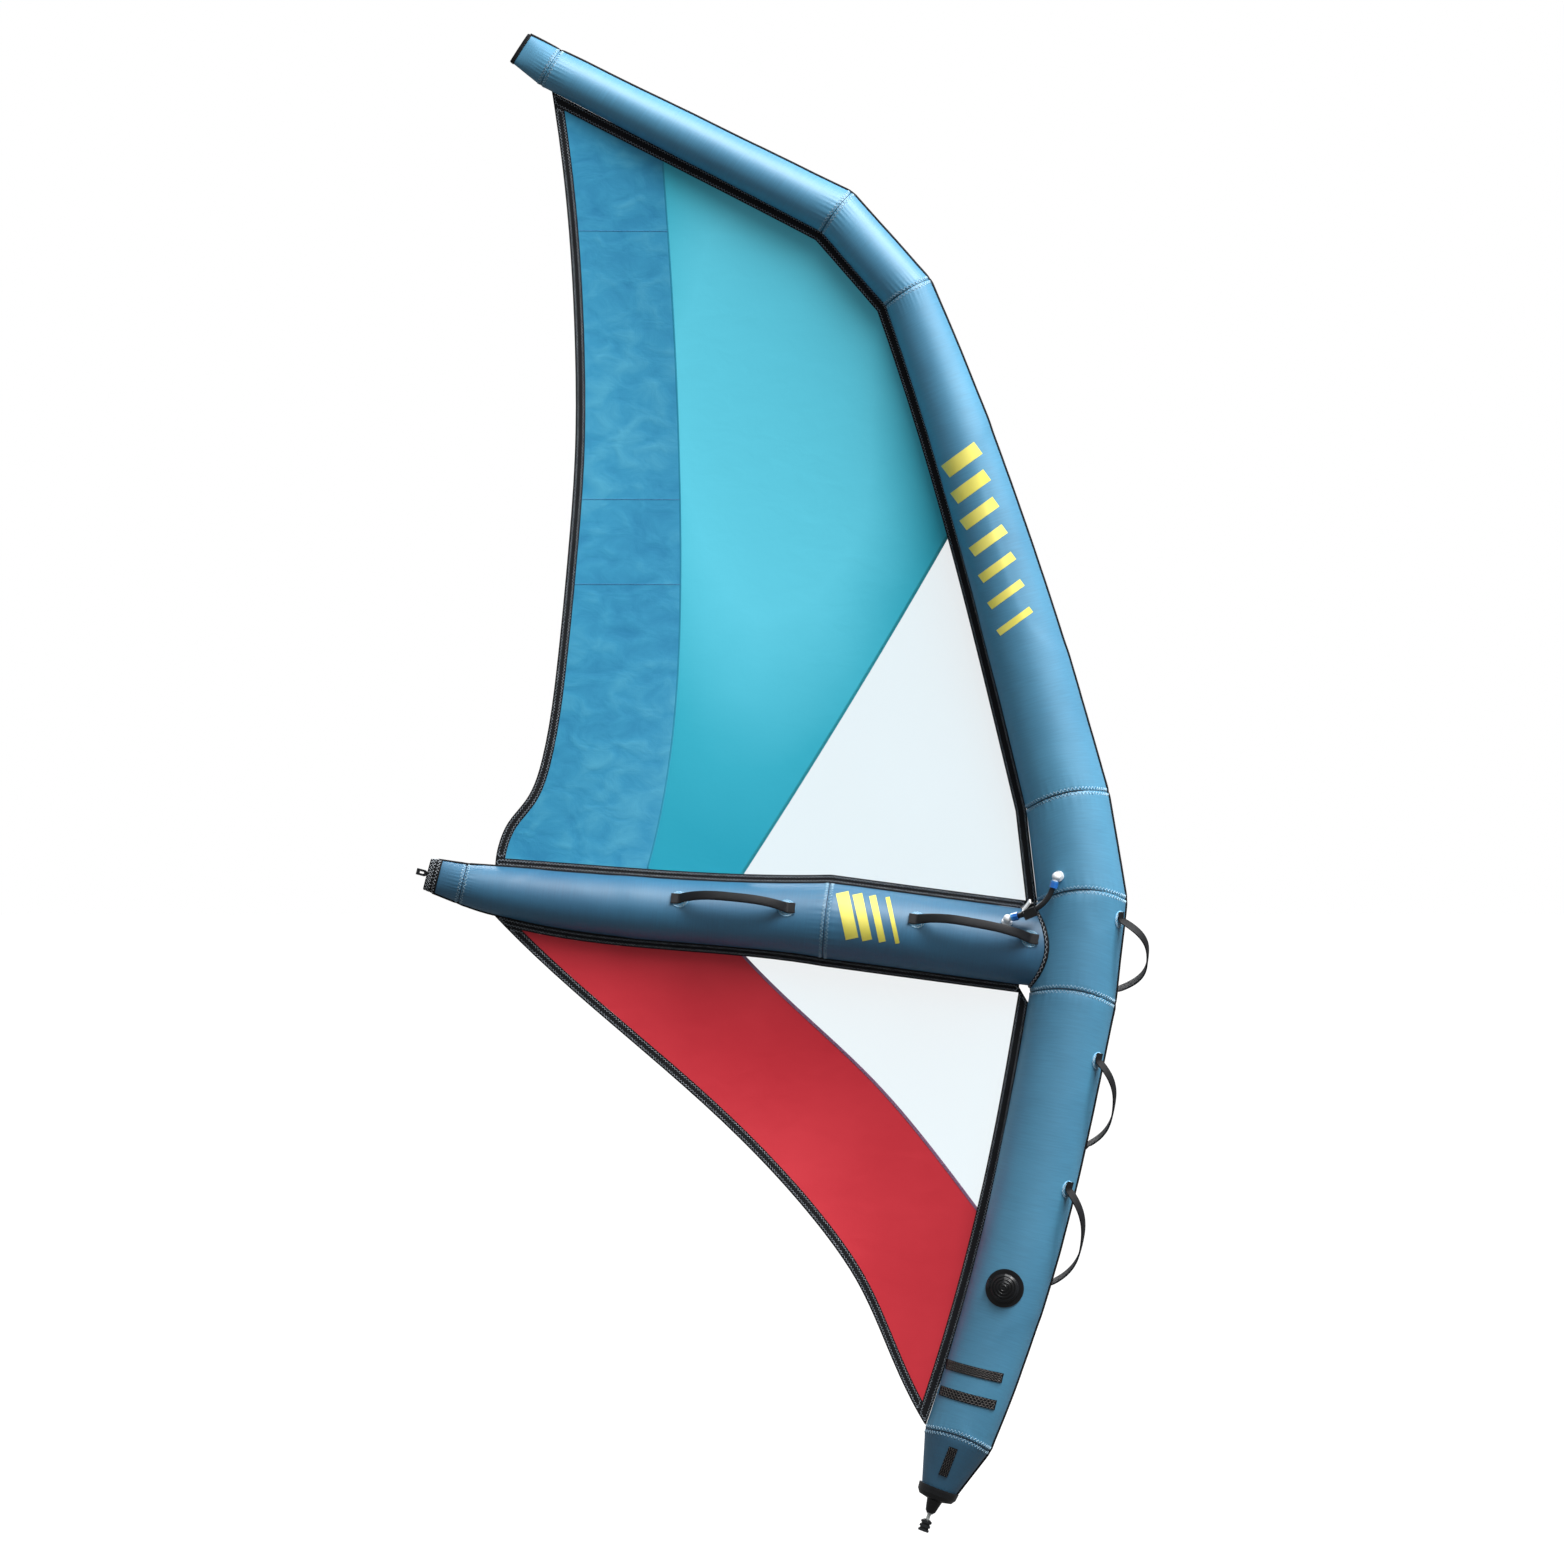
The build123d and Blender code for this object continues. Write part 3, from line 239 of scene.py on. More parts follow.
def settle_on(rows, node):
    """Moves the grid onto a CAD sleeve's outer surface, without its facets."""
    tree = surface_tree([nodes[node].data])[0]
    count = len(rows[0])
    moves = []
    for row in rows:
        centre = middle_of(row)
        offsets = []
        for point in row:
            off = (tree.find_nearest(point)[0] - point).dot((point - centre).normalized())
            offsets.append(max(-SETTLE_LIMIT, min(SETTLE_LIMIT, off)))
        moves.append(offsets)
    for step in range(SETTLE_PASSES):
        above, below = [moves[0]] + moves[:-1], moves[1:] + [moves[-1]]
        moves = [
            [
                (2 * here[i] + here[i - 1] + here[(i + 1) % count] + up[i] + down[i]) / 6
                for i in range(count)
            ]
            for here, up, down in zip(moves, above, below)
        ]
    settled = []
    for row, offsets in zip(rows, moves):
        centre = middle_of(row)
        settled.append([p + (p - centre).normalized() * move for p, move in zip(row, offsets)])
    return settled


def pucker(rows, seam_gaps, seed, ends):
    """Pulls the cloth in at its sewn ends, puckers it beside them, and dents it softly all over."""
    shaped = []
    for row, gaps in zip(rows, seam_gaps):
        centre = middle_of(row)
        points = []
        for index, point in enumerate(row):
            turn = 2 * math.pi * index / len(row)
            wave = 0.5 + 0.5 * noise(Vector((9 * math.cos(turn), 9 * math.sin(turn), seed)))
            ripple = math.cos(turn * PUCKER_COUNT + 7 * noise(Vector((turn * 2, seed, 1.5))))
            sink = SOFT_DENT * noise(point * DENT_SCALE + Vector((seed, 0, 0)))
            sink += SOFT_DENT / 3 * noise(point * FINE_DENT_SCALE)
            for gap, sewn_end in zip(gaps, ends):
                if sewn_end:
                    sink += SEAM_PINCH * math.exp(-((gap / PINCH_REACH) ** 2))
                    sink += PUCKER_DEPTH * math.exp(-((gap / PUCKER_REACH) ** 2)) * wave * ripple
            points.append(point - (point - centre).normalized() * sink)
        shaped.append(points)
    return shaped


def flow_map(piece, rows, seam_gaps):
    """A map of the cloth: round the tube, then along it, both in metres."""
    count = len(rows[0])
    around = [sum((b - a).length for a, b in zip(row, row[1:])) for row in rows]
    layer = piece.data.uv_layers.new(name="cloth")
    for face in piece.data.polygons:
        columns = [piece.data.loops[i].vertex_index % count for i in face.loop_indices]
        wraps = max(columns) - min(columns) > count / 2
        for loop, column in zip(face.loop_indices, columns):
            row = piece.data.loops[loop].vertex_index // count
            turn = column + count if wraps and column < count / 2 else column
            layer.data[loop].uv = (turn / count * around[row], seam_gaps[row][0])


def sleeve_spans(rings):
    """Where each sleeve of a tube starts and ends, as places in its list of rings."""
    starts = [i for i, ring in enumerate(rings) if ring[5]]
    return [(rings[i][5], i, j) for i, j in zip(starts, starts[1:] + [len(rings) - 1])]


def fill(socket, value):
    """Links a socket to another one, or sets it to a value."""
    if isinstance(value, bpy.types.NodeSocket):
        socket.id_data.links.new(value, socket)
    else:
        socket.default_value = value


def node_adder(tree):
    """A function that adds nodes to a tree."""
    def add(kind, *values, **settings):
        """Adds a node with its first inputs in order and others by name, and gives its outputs."""
        node = tree.nodes.new(kind)
        for key, value in settings.items():
            if key in node.inputs:
                fill(node.inputs[key], value)
            else:
                setattr(node, key, value)
        for socket, value in zip(node.inputs, values):
            fill(socket, value)
        return node.outputs

    return add


def new_material(name):
    """A new material, with its shader and its node adder."""
    material = bpy.data.materials.new(name)
    material.use_nodes = True
    tree = material.node_tree
    return material, tree.nodes["Principled BSDF"], node_adder(tree)


def shade(shader, **levels):
    """Fills a shader's inputs; an underscore stands for each space in their names."""
    for name, value in levels.items():
        fill(shader.inputs[name.replace("_", " ")], value)


def maths(add, operation, *values):
    """A Math node's result."""
    return add("ShaderNodeMath", *values, operation=operation)[0]


def object_place(add):
    """The place on the piece, in metres."""
    return add("ShaderNodeTexCoord")["Object"]


def clouds(add, place, scale, detail=2.0, **more):
    """Noise over a piece."""
    return add("ShaderNodeTexNoise", place, Scale=scale, Detail=detail, **more)["Fac"]


def ribs(add, place, scale, way, **more):
    """Waves that stand up from a piece."""
    return add("ShaderNodeTexWave", place, Scale=scale, bands_direction=way, **more)["Fac"]


def weave(add, place, scale, ways="XZ"):
    """The raised threads of a plain weave."""
    return maths(add, "MAXIMUM", *(ribs(add, place, scale, way) for way in ways))


def bumped(add, height, strength, distance, **more):
    """The normal of a surface raised by a height."""
    raised = add("ShaderNodeBump", strength, distance, Height=height, **more)
    return raised["Normal"]


def linear(red, green, blue):
    """A colour as a designer writes it, 0 to 255, made linear for a shader."""
    parts = []
    for part in (red, green, blue):
        part /= 255
        parts.append(part / 12.92 if part <= 0.04045 else ((part + 0.055) / 1.055) ** 2.4)
    return (*parts, 1)


def ramp(add, value, *stops):
    """A colour ramp on a value: (place, colour) for each stop."""
    colour = add("ShaderNodeValToRGB", value)["Color"]
    elements = colour.node.color_ramp.elements
    while len(elements) < len(stops):
        elements.new(0.5)
    for element, (place, written) in zip(elements, stops):
        element.position = place
        element.color = linear(*written)
    return colour


def blend_colours(add, share, first, second):
    """Two colours or sockets mixed by a share or a socket."""
    mixed = add("ShaderNodeMix", data_type="RGBA")[2]
    for index, value in ((0, share), (6, first), (7, second)):
        fill(mixed.node.inputs[index], value)
    return mixed


def tube_cloth(name, base, pale, deep):
    """Satin coated cloth on a tube: fine weave, slub along the weft, and soft patches of tone."""
    material, shader, add = new_material(name)
    cloth = add("ShaderNodeUVMap", uv_map="cloth")["UV"]
    tone = ramp(add, clouds(add, object_place(add), 3.2, 3.0), (0.32, deep), (0.72, pale))
    slub = clouds(add, add("ShaderNodeMapping", cloth, Scale=(18, 300, 1))["Vector"], 1.0)
    colour = blend_colours(add, 0.45, linear(*base), tone)
    thread = maths(add, "MULTIPLY", maths(add, "SUBTRACT", slub, 0.5), 0.34)
    shaded = add("ShaderNodeHueSaturation", Value=maths(add, "ADD", thread, 1.0), Color=colour)
    raised = maths(add, "ADD", maths(add, "MULTIPLY", weave(add, cloth, 420.0, "XY"), 0.35),
                   maths(add, "MULTIPLY", slub, 0.4))
    shade(shader, Base_Color=shaded["Color"], Normal=bumped(add, raised, 0.16, 0.0006),
          Roughness=0.54, Specular_IOR_Level=1.0)
    return material


mast_cloth = tube_cloth("mast_cloth", (62, 132, 167), (78, 149, 183), (50, 115, 150))
foot_cloth = tube_cloth("foot_cloth", (32, 92, 124), (44, 108, 140), (24, 78, 110))


seam_rings = []             # the two sleeves at each ring seam


def sew_tube(rings, cloth, seed, closed_first):
    """Makes each sleeve of a tube, closed at its far end, and keeps those that meet at a seam."""
    sleeves = {}
    spans = sleeve_spans(rings)
    for index, (node, first, last) in enumerate(spans):
        start, end = index == 0, index == len(spans) - 1
        rows, gaps = tube_grid(rings, first, last)
        rows = pucker(settle_on(rows, node), gaps, seed + index, (not start, not end))
        piece = ring_piece(node + "_cloth", rows, start and closed_first, end)
        flow_map(piece, rows, gaps)
        dress(piece, cloth, node)
        sleeves[node] = (piece, rows, gaps)
    for (low, _, _), (high, _, _) in zip(spans, spans[1:]):
        seam_rings.append((sleeves[low], sleeves[high]))
    return sleeves


mast_sleeves = sew_tube(MAST_RINGS, mast_cloth, MAST_SEED, True)
mast_sleeves["mast_foot_cone"][0].data.materials[0] = foot_cloth


# ---- Boom tube -----------------------------------------------------------------------------------
# The boom is a second air tube of the same cloth, in three gores. Its root is pinched flat-sided
# and sewn to the mast's aft side, and it tapers to a flat end that is bound with webbing.

BOOM_RINGS = [
    (0.345, 1.353, 0.088, 0.066, 0.000, "boom_inner_sleeve"),
    (0.100, 1.385, 0.088, 0.088, 0.000, None),
    (-0.226, 1.429, 0.088, 0.088, 0.004, "boom_outer_sleeve"),
    (-0.662, 1.458, 0.0725, 0.0725, 0.000, None),
    (-0.990, 1.498, 0.057, 0.057, 0.000, None),
    (-1.076, 1.515, 0.046, 0.046, 0.000, "boom_tip_cap"),
    (-1.158, 1.537, 0.036, 0.009, 0.000, None),
]
ROOT_INSET = 0.006          # how far the boom's cloth runs on inside the mast's
BOOM_SEED = 21.0


mast_tree = surface_tree([piece.data for piece, _, _ in mast_sleeves.values()])[0]


def mast_depth(point):
    """How far a point lies inside the mast's cloth; outside it, the depth is below zero."""
    near, normal = mast_tree.find_nearest(point)[:2]
    return (near - point).dot(normal)


def keep_faces(piece, wanted):
    """Deletes the faces of a piece whose points all fail a test."""
    bm = bmesh.new()
    bm.from_mesh(piece.data)
    gone = [face for face in bm.faces if not any(wanted(vert.co) for vert in face.verts)]
    bmesh.ops.delete(bm, geom=gone, context="FACES")
    bm.to_mesh(piece.data)
    bm.free()


boom_cloth = tube_cloth("boom_cloth", (34, 100, 136), (46, 117, 152), (26, 82, 117))
boom_sleeves = sew_tube(BOOM_RINGS, boom_cloth, BOOM_SEED, False)
boom_tree = surface_tree([piece.data for piece, _, _ in boom_sleeves.values()])[0]
keep_faces(boom_sleeves["boom_inner_sleeve"][0], lambda point: mast_depth(point) < ROOT_INSET)


# ---- Bladders ------------------------------------------------------------------------------------
# A closed balloon of clear urethane film lies inside each tube and holds its air. It is welded from
# flat film and lies loose in the cloth, which hides it.

BLADDER_GAP = 0.007         # between the film and the cloth
BLADDER_SKIP = 4            # the film has a point for every fourth one of the cloth


def bladder_film():
    """Clear glossy film with a faint haze."""
    material, shader, add = new_material("bladder_film")
    haze = clouds(add, object_place(add), 30.0)
    shade(shader, Base_Color=ramp(add, haze, (0.3, (205, 210, 205)), (0.7, (222, 226, 222))),
          Roughness=0.15)
    return material


film = bladder_film()
for node, sleeves, last in (
    ("mast_bladder", mast_sleeves, "mast_tip_cap"), ("boom_bladder", boom_sleeves, "boom_tip_cap")
):
    inner = []
    for name, (piece, rows, gaps) in sleeves.items():
        for row in rows[1::BLADDER_SKIP] if name != last else ():
            centre = middle_of(row)
            reach = [point - centre for point in row[::BLADDER_SKIP]]
            inner.append([centre + way * (1 - BLADDER_GAP / way.length) for way in reach])
    if node == "boom_bladder":
        inner = [row for row in inner if mast_depth(middle_of(row)) < 0]
    dress(ring_piece(node + "_film", inner, True, True), film, node)


# ---- Ring seams ----------------------------------------------------------------------------------
# At each bend two sleeves meet edge to edge over a tape, with a thin dark gap between them and a
# row of pale zigzag stitches along each edge.

STITCH_GAP = 0.0062         # of each row from the seam
RING_STITCH = (0.0044, 0.0034, 0.0010)      # needle step, half width and thread radius
SEAM_GAP = (0.004, 0.0, 0.0011)
SEAM_GAP_PLACE = 0.0004     # from the seam
STITCH_INPUTS = ("Pitch", "Half Width", "Thread Radius", "Lift")


def plain_thread(name, base, shaded):
    """Bonded polyester thread, with fine specks of a darker tone at random."""
    material, shader, add = new_material(name)
    speck = clouds(add, object_place(add), 260.0, 1.0)
    shade(shader, Base_Color=ramp(add, speck, (0.35, shaded), (0.6, base)), Roughness=0.7)
    return material


def zigzag_tree(thread):
    """Geometry Nodes that sew a zigzag along a path whose points hold the way out of the cloth."""
    tree = bpy.data.node_groups.new("zigzag_" + thread.name, "GeometryNodeTree")
    face = tree.interface
    face.new_socket("Path", in_out="INPUT", socket_type="NodeSocketGeometry")
    for name in STITCH_INPUTS:
        face.new_socket(name, in_out="INPUT", socket_type="NodeSocketFloat")
    face.new_socket("Stitches", in_out="OUTPUT", socket_type="NodeSocketGeometry")
    add = node_adder(tree)

    def vectors(operation, *values, **more):
        """A Vector Math node's result."""
        return add("ShaderNodeVectorMath", *values, operation=operation, **more)[0]

    given = add("NodeGroupInput")
    curve = add("GeometryNodeMeshToCurve", given["Path"])[0]
    even = add("GeometryNodeResampleCurve", curve, mode="LENGTH", Length=given["Pitch"])[0]
    out = add("GeometryNodeInputNamedAttribute", data_type="FLOAT_VECTOR", Name="out")[0]
    side = vectors("CROSS_PRODUCT", add("GeometryNodeInputTangent")[0], out)
    parity = maths(add, "MODULO", add("GeometryNodeInputIndex")[0], 2.0)
    swing = maths(add, "MULTIPLY_ADD", parity, 2.0, -1.0)
    reach = maths(add, "MULTIPLY", swing, given["Half Width"])
    across = vectors("SCALE", vectors("NORMALIZE", side), Scale=reach)
    lifted = vectors("SCALE", out, Scale=given["Lift"])
    place = add("GeometryNodeSetPosition", even, Offset=vectors("ADD", across, lifted))[0]
    ring = add("GeometryNodeCurvePrimitiveCircle", Resolution=4, Radius=given["Thread Radius"])[0]
    real = add("GeometryNodeRealizeInstances", add("GeometryNodeCurveToMesh", place, ring)[0])[0]
    coat = add("GeometryNodeSetMaterial", real, Material=thread)[0]
    fill(tree.nodes.new("NodeGroupOutput").inputs[0], coat)
    return tree


def sewn(name, paths, thread, stitch, lift=0.0003):
    """Zigzag stitches along paths of (point, way out of the cloth), as one plain mesh."""
    points = [point for path in paths for point, out in path]
    edges, start = [], 0
    for path in paths:
        edges += [(start + i, start + i + 1) for i in range(len(path) - 1)]
        start += len(path)
    mesh = bpy.data.meshes.new(name + "_path")
    mesh.from_pydata([tuple(point) for point in points], edges, [])
    ways = mesh.attributes.new("out", "FLOAT_VECTOR", "POINT")
    ways.data.foreach_set("vector", [part for path in paths for point, out in path for part in out])
    guide = new_object(name + "_path", mesh)
    maker = guide.modifiers.new("zigzag", "NODES")
    maker.node_group = zigzag_tree(thread)
    sizes = dict(zip(STITCH_INPUTS, (*stitch, lift)))
    for item in maker.node_group.interface.items_tree:
        if item.name in sizes:
            maker[item.identifier] = sizes[item.name]
    bpy.context.view_layer.update()
    shaped = guide.evaluated_get(bpy.context.evaluated_depsgraph_get())
    stitches = new_object(name, bpy.data.meshes.new_from_object(shaped))
    bpy.data.objects.remove(guide)
    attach(stitches, "sail")


def row_beside(sleeve, distance, at_end):
    """The ring of a sleeve this far from its first or last seam, with the way out of the cloth."""
    piece, rows, gaps = sleeve
    places = [gap[1 if at_end else 0] for gap in gaps]
    for index in range(len(rows) - 1, 0, -1) if at_end else range(len(rows) - 1):
        other = index - 1 if at_end else index + 1
        if places[index] <= distance <= places[other]:
            share = (distance - places[index]) / (places[other] - places[index])
            row = [a.lerp(b, share) for a, b in zip(rows[index], rows[other])]
            centre = middle_of(row)
            path = [(point, (point - centre).normalized()) for point in row]
            return path + path[:1]
    raise ValueError("no row there")


pale_thread = plain_thread("pale_blue_thread", (178, 210, 228), (130, 170, 196))
seam_dark = plain_thread("seam_gap_dark", (26, 44, 60), (18, 32, 46))
ring_paths, gap_paths = [], []
for low, high in seam_rings:
    ring_paths += [row_beside(low, STITCH_GAP, True), row_beside(high, STITCH_GAP, False)]
    gap_paths.append(row_beside(high, SEAM_GAP_PLACE, False))
sewn("ring_seam_stitches", ring_paths, pale_thread, RING_STITCH)
sewn("ring_seam_gaps", gap_paths, seam_dark, SEAM_GAP, lift=0.0)


# ---- Leading-edge piping -------------------------------------------------------------------------
# A black welt is sewn into the seam that runs along the outer edge of the mast, from tip to foot.
# It is a thin cord in a fold of woven polyester tape.

PIPING_RADIUS = 0.0035
PIPING_SEAT = 0.4           # of its radius, that it stands off the cloth
PIPING_STEP = 0.001         # the least between its points


def strand_faces(rows, sides, closed=False):
    """Faces over the rings of a strand, with its ends closed unless it runs round."""
    faces = []
    for row in range(rows if closed else rows - 1):
        near, far = row * sides, (row + 1) % rows * sides
        for step in range(sides):
            after = (step + 1) % sides
            faces.append((near + step, near + after, far + after, far + step))
    if not closed:
        faces.append(tuple(reversed(range(sides))))
        faces.append(tuple(range((rows - 1) * sides, rows * sides)))
    return faces


def round_strand(name, path, radius, sides=10, flat=1.0, body="sail", closed=False):
    """A solid strand along a path of (point, way out); flat squashes it towards the cloth."""
    points = []
    count = len(path)
    for index, (point, out) in enumerate(path):
        ahead = path[(index + 1) % count if closed else min(index + 1, count - 1)][0]
        behind = path[index - 1 if closed or index else 0][0]
        along = (ahead - behind).normalized()
        side = along.cross(out).normalized()
        rise = side.cross(along)
        points += [
            point + side * (radius * cos) + rise * (radius * flat * sin)
            for cos, sin in circle(sides)
        ]
    return new_piece(name, points, strand_faces(count, sides, closed), body)


def woven_tape(name, base, raised):
    """Black woven polyester: fine ribs, faintly paler where the threads stand up."""
    material, shader, add = new_material(name)
    place = object_place(add)
    threads = ribs(add, place, 520.0, "DIAGONAL", Distortion=1.2)
    worn = maths(add, "MULTIPLY", threads, clouds(add, place, 14.0, 4.0))
    shade(shader, Base_Color=ramp(add, worn, (0.05, base), (0.7, raised)),
          Normal=bumped(add, threads, 0.35, 0.0005), Roughness=0.72, Specular_IOR_Level=0.22)
    return material


black_tape = woven_tape("black_edge_tape", (7, 8, 11), (24, 26, 31))
edge = []
for piece, rows, gaps in mast_sleeves.values():
    for row in rows[::2]:
        out = (row[0] - middle_of(row)).normalized()
        edge.append((row[0] + out * (PIPING_RADIUS * PIPING_SEAT), out))
edge = [
    place for place, after in zip(edge, edge[1:]) if (after[0] - place[0]).length > PIPING_STEP
]
piping = round_strand("leading_edge_welt", edge, PIPING_RADIUS)
dress(piping, black_tape, "leading_edge_piping")


# ---- Canopies ------------------------------------------------------------------------------------
# The upper and lower canopy are cut from coated polyester and clear film, and sewn edge to edge.
# Each is one bellied sheet, stretched between the mast, the boom and its own leech tape.

MERGE_REACH = 1e-6          # points this near to each other are one
CLOTH_STEP = 0.015          # between the points of a panel
RIM_CLEAR = 0.3             # share of a step that stays clear inside the outline
LATTICE_MARGIN = 3          # steps of lattice round a canopy
BELLY_MARGIN = 5            # steps that the belly runs on past the panels
BELLY_CALM = 14             # times that it is smoothed
PANEL_HALF = 0.0006
PANEL_CREASE = 50           # degrees past which an edge is sharp
UPPER_PANELS = {            # each panel's cut: width, length and area
    "upper_leech_panel": (0.41, 1.78, 0.412), "upper_main_panel": (0.75, 1.70, 0.7136),
    "upper_window": (0.66, 0.85, 0.2747),
}
LOWER_PANELS = {"lower_main_panel": (1.55, 0.42, 0.3346), "lower_window": (0.638, 0.589, 0.1556)}


def front_outline(node):
    """The longest edge loop of a CAD panel's face towards the sailor, anticlockwise, as (x, z)."""
    bm = bmesh.new()
    bm.from_mesh(nodes[node].data)
    bmesh.ops.remove_doubles(bm, verts=bm.verts, dist=MERGE_REACH)
    bm.normal_update()
    unseen = [face for face in bm.faces if face.normal.y > -0.5]
    bmesh.ops.delete(bm, geom=unseen, context="FACES")
    beside = {}
    for edge in bm.edges:
        if len(edge.link_faces) == 1:
            a, b = (vert.co.copy().freeze() for vert in edge.verts)
            beside.setdefault(a, []).append(b)
            beside.setdefault(b, []).append(a)
    loops = []
    while beside:
        point = next(iter(beside))
        loop = []
        while point in beside:
            loop.append(point)
            ahead = beside.pop(point)
            point = next((other for other in ahead if other in beside), None)
        loops.append([Vector((p.x, p.z)) for p in loop])
    bm.free()
    loop = max(loops, key=lambda points: abs(signed_area(points)))
    return loop if signed_area(loop) > 0 else loop[::-1]


def signed_area(points):
    """Twice a flat loop's area, above zero when it runs anticlockwise."""
    return sum(a.cross(b) for a, b in zip(points, points[1:] + points[:1]))


def belly(names):
    """How deep a canopy lies at each point of a lattice, from its CAD panels and smoothed."""
    tree, corners = surface_tree([nodes[name].data for name in names])
    across, up = (
        [round(bound(corner[axis] for corner in corners) / CLOTH_STEP) for bound in (min, max)]
        for axis in (0, 2)
    )
    depth = {}
    for i in range(across[0] - LATTICE_MARGIN, across[1] + LATTICE_MARGIN + 1):
        for k in range(up[0] - LATTICE_MARGIN, up[1] + LATTICE_MARGIN + 1):
            start = Vector((i * CLOTH_STEP, -1, k * CLOTH_STEP))
            near = tree.ray_cast(start, Vector((0, 1, 0)))[0]
            far = tree.ray_cast(start + Vector((0, 2, 0)), Vector((0, -1, 0)))[0]
            if near:
                depth[i, k] = (near.y + far.y) / 2
    sides = ((1, 0), (-1, 0), (0, 1), (0, -1))
    for grow in range(BELLY_MARGIN):
        grown = {}
        for i, k in list(depth):
            for di, dk in sides:
                spot, behind = (i + di, k + dk), (i - di, k - dk)
                if spot not in depth and behind in depth:
                    grown.setdefault(spot, []).append(2 * depth[i, k] - depth[behind])
        depth.update({spot: sum(values) / len(values) for spot, values in grown.items()})
    for smooth in range(BELLY_CALM):
        calm = {}
        for (i, k), value in depth.items():
            around = [depth[i + di, k + dk] for di, dk in sides if (i + di, k + dk) in depth]
            calm[i, k] = (value + sum(around) / len(around)) / 2 if len(around) == 4 else value
        depth = calm
    return depth


def depth_at(depth, x, z):
    """The canopy's depth at any point, between its lattice points."""
    i, k = math.floor(x / CLOTH_STEP), math.floor(z / CLOTH_STEP)
    u, v = x / CLOTH_STEP - i, z / CLOTH_STEP - k
    low = depth[i, k] * (1 - u) + depth[i + 1, k] * u
    high = depth[i, k + 1] * (1 - u) + depth[i + 1, k + 1] * u
    return low * (1 - v) + high * v


def crossings(loop, z):
    """Where a closed loop crosses a height, from left to right."""
    return sorted(
        a.x + (z - a.y) * (b.x - a.x) / (b.y - a.y)
        for a, b in zip(loop, loop[1:] + loop[:1]) if (a.y > z) != (b.y > z)
    )


def cloth_piece(name, node, depth, half, material, step=CLOTH_STEP):
    """A thin closed piece of cloth with a CAD panel's outline, on its canopy's surface."""
    outline = front_outline(node)
    low, high = (round(bound(p.y for p in outline) / step) for bound in (min, max))
    clear = RIM_CLEAR * step
    points = list(outline)
    for k in range(low, high + 1):
        cuts = crossings(outline, k * step)
        for start, end in zip(cuts[::2], cuts[1::2]):
            first, last = math.ceil((start + clear) / step), math.floor((end - clear) / step)
            points += [Vector((i * step, k * step)) for i in range(first, last + 1)]
    rim = [(i, (i + 1) % len(outline)) for i in range(len(outline))]
    spots, edges, faces = delaunay_2d_cdt(points, rim, [], 1, 1e-7)[:3]
    piece = new_piece(name, [Vector((p.x, depth_at(depth, p.x, p.y), p.y)) for p in spots], faces)
    bm = bmesh.new()
    bm.from_mesh(piece.data)
    bmesh.ops.recalc_face_normals(bm, faces=bm.faces)
    if sum(face.normal.y for face in bm.faces) > 0:
        bmesh.ops.reverse_faces(bm, faces=bm.faces)
    bmesh.ops.solidify(bm, geom=bm.faces[:], thickness=2 * half)
    offs = [vert.co.y - depth_at(depth, vert.co.x, vert.co.z) for vert in bm.verts]
    middle = sum(offs) / len(offs)
    for vert in bm.verts:
        vert.co.y -= middle
    bm.to_mesh(piece.data)
    bm.free()
    piece.data.shade_smooth()
    piece.data.set_sharp_from_angle(angle=math.radians(PANEL_CREASE))
    dress(piece, material, node)
    return piece, outline


def sail_cloth(name, stops, crinkle_and_crease_shade, middle=None, reach=None):
    """Coated sail cloth: a fine weave with a ripstop grid, soft creases and drifting tone, part of
    it painted shade that darkens the hollows of the creases; where a middle is given, the tone is
    instead painted lighter round it and darker towards the panel's edges.
    """
    material, shader, add = new_material(name)
    place = object_place(add)
    drift = clouds(add, place, 2.4, 3.0)
    creased = add("ShaderNodeMapping", place, Scale=(15, 1, 21))["Vector"]
    crease_height_and_shade = clouds(add, creased, 1.0, 5.0, Distortion=0.5)
    # Painted light and shade: round a given middle the tone is painted paler, and darker towards
    # the panel's edges
    if middle:
        painted_shade_spread = add("ShaderNodeMapping", place, Scale=(1 / reach[0], 0, 1 / reach[1]),
                     Location=(-middle[0] / reach[0], 0, -middle[1] / reach[1]))["Vector"]
        painted_glow = add("ShaderNodeTexGradient", painted_shade_spread, gradient_type="SPHERICAL")["Fac"]
        share = maths(add, "ADD", painted_glow, maths(add, "MULTIPLY", drift, 0.25))
    else:
        # Painted shade: a share of the tone follows the crease height, darker in the hollows of the
        # creases
        share = maths(add, "ADD", maths(add, "MULTIPLY", drift, 1 - crinkle_and_crease_shade),
                      maths(add, "MULTIPLY", crease_height_and_shade, crinkle_and_crease_shade))
    ripstop = maths(add, "MAXIMUM", *(
        maths(add, "GREATER_THAN", ribs(add, place, 60.0, way), 0.985) for way in "XZ"
    ))
    shaded = add("ShaderNodeHueSaturation", Color=ramp(add, share, *stops),
                 Value=maths(add, "SUBTRACT", 1.0, maths(add, "MULTIPLY", ripstop, 0.035)))["Color"]
    fine = bumped(add, weave(add, place, 330.0), 0.10, 0.0004)
    shade(shader, Base_Color=shaded, Normal=bumped(add, crease_height_and_shade, 0.10 + crinkle_and_crease_shade, 0.004, Normal=fine),
          Roughness=0.5, Specular_IOR_Level=0.3)
    return material


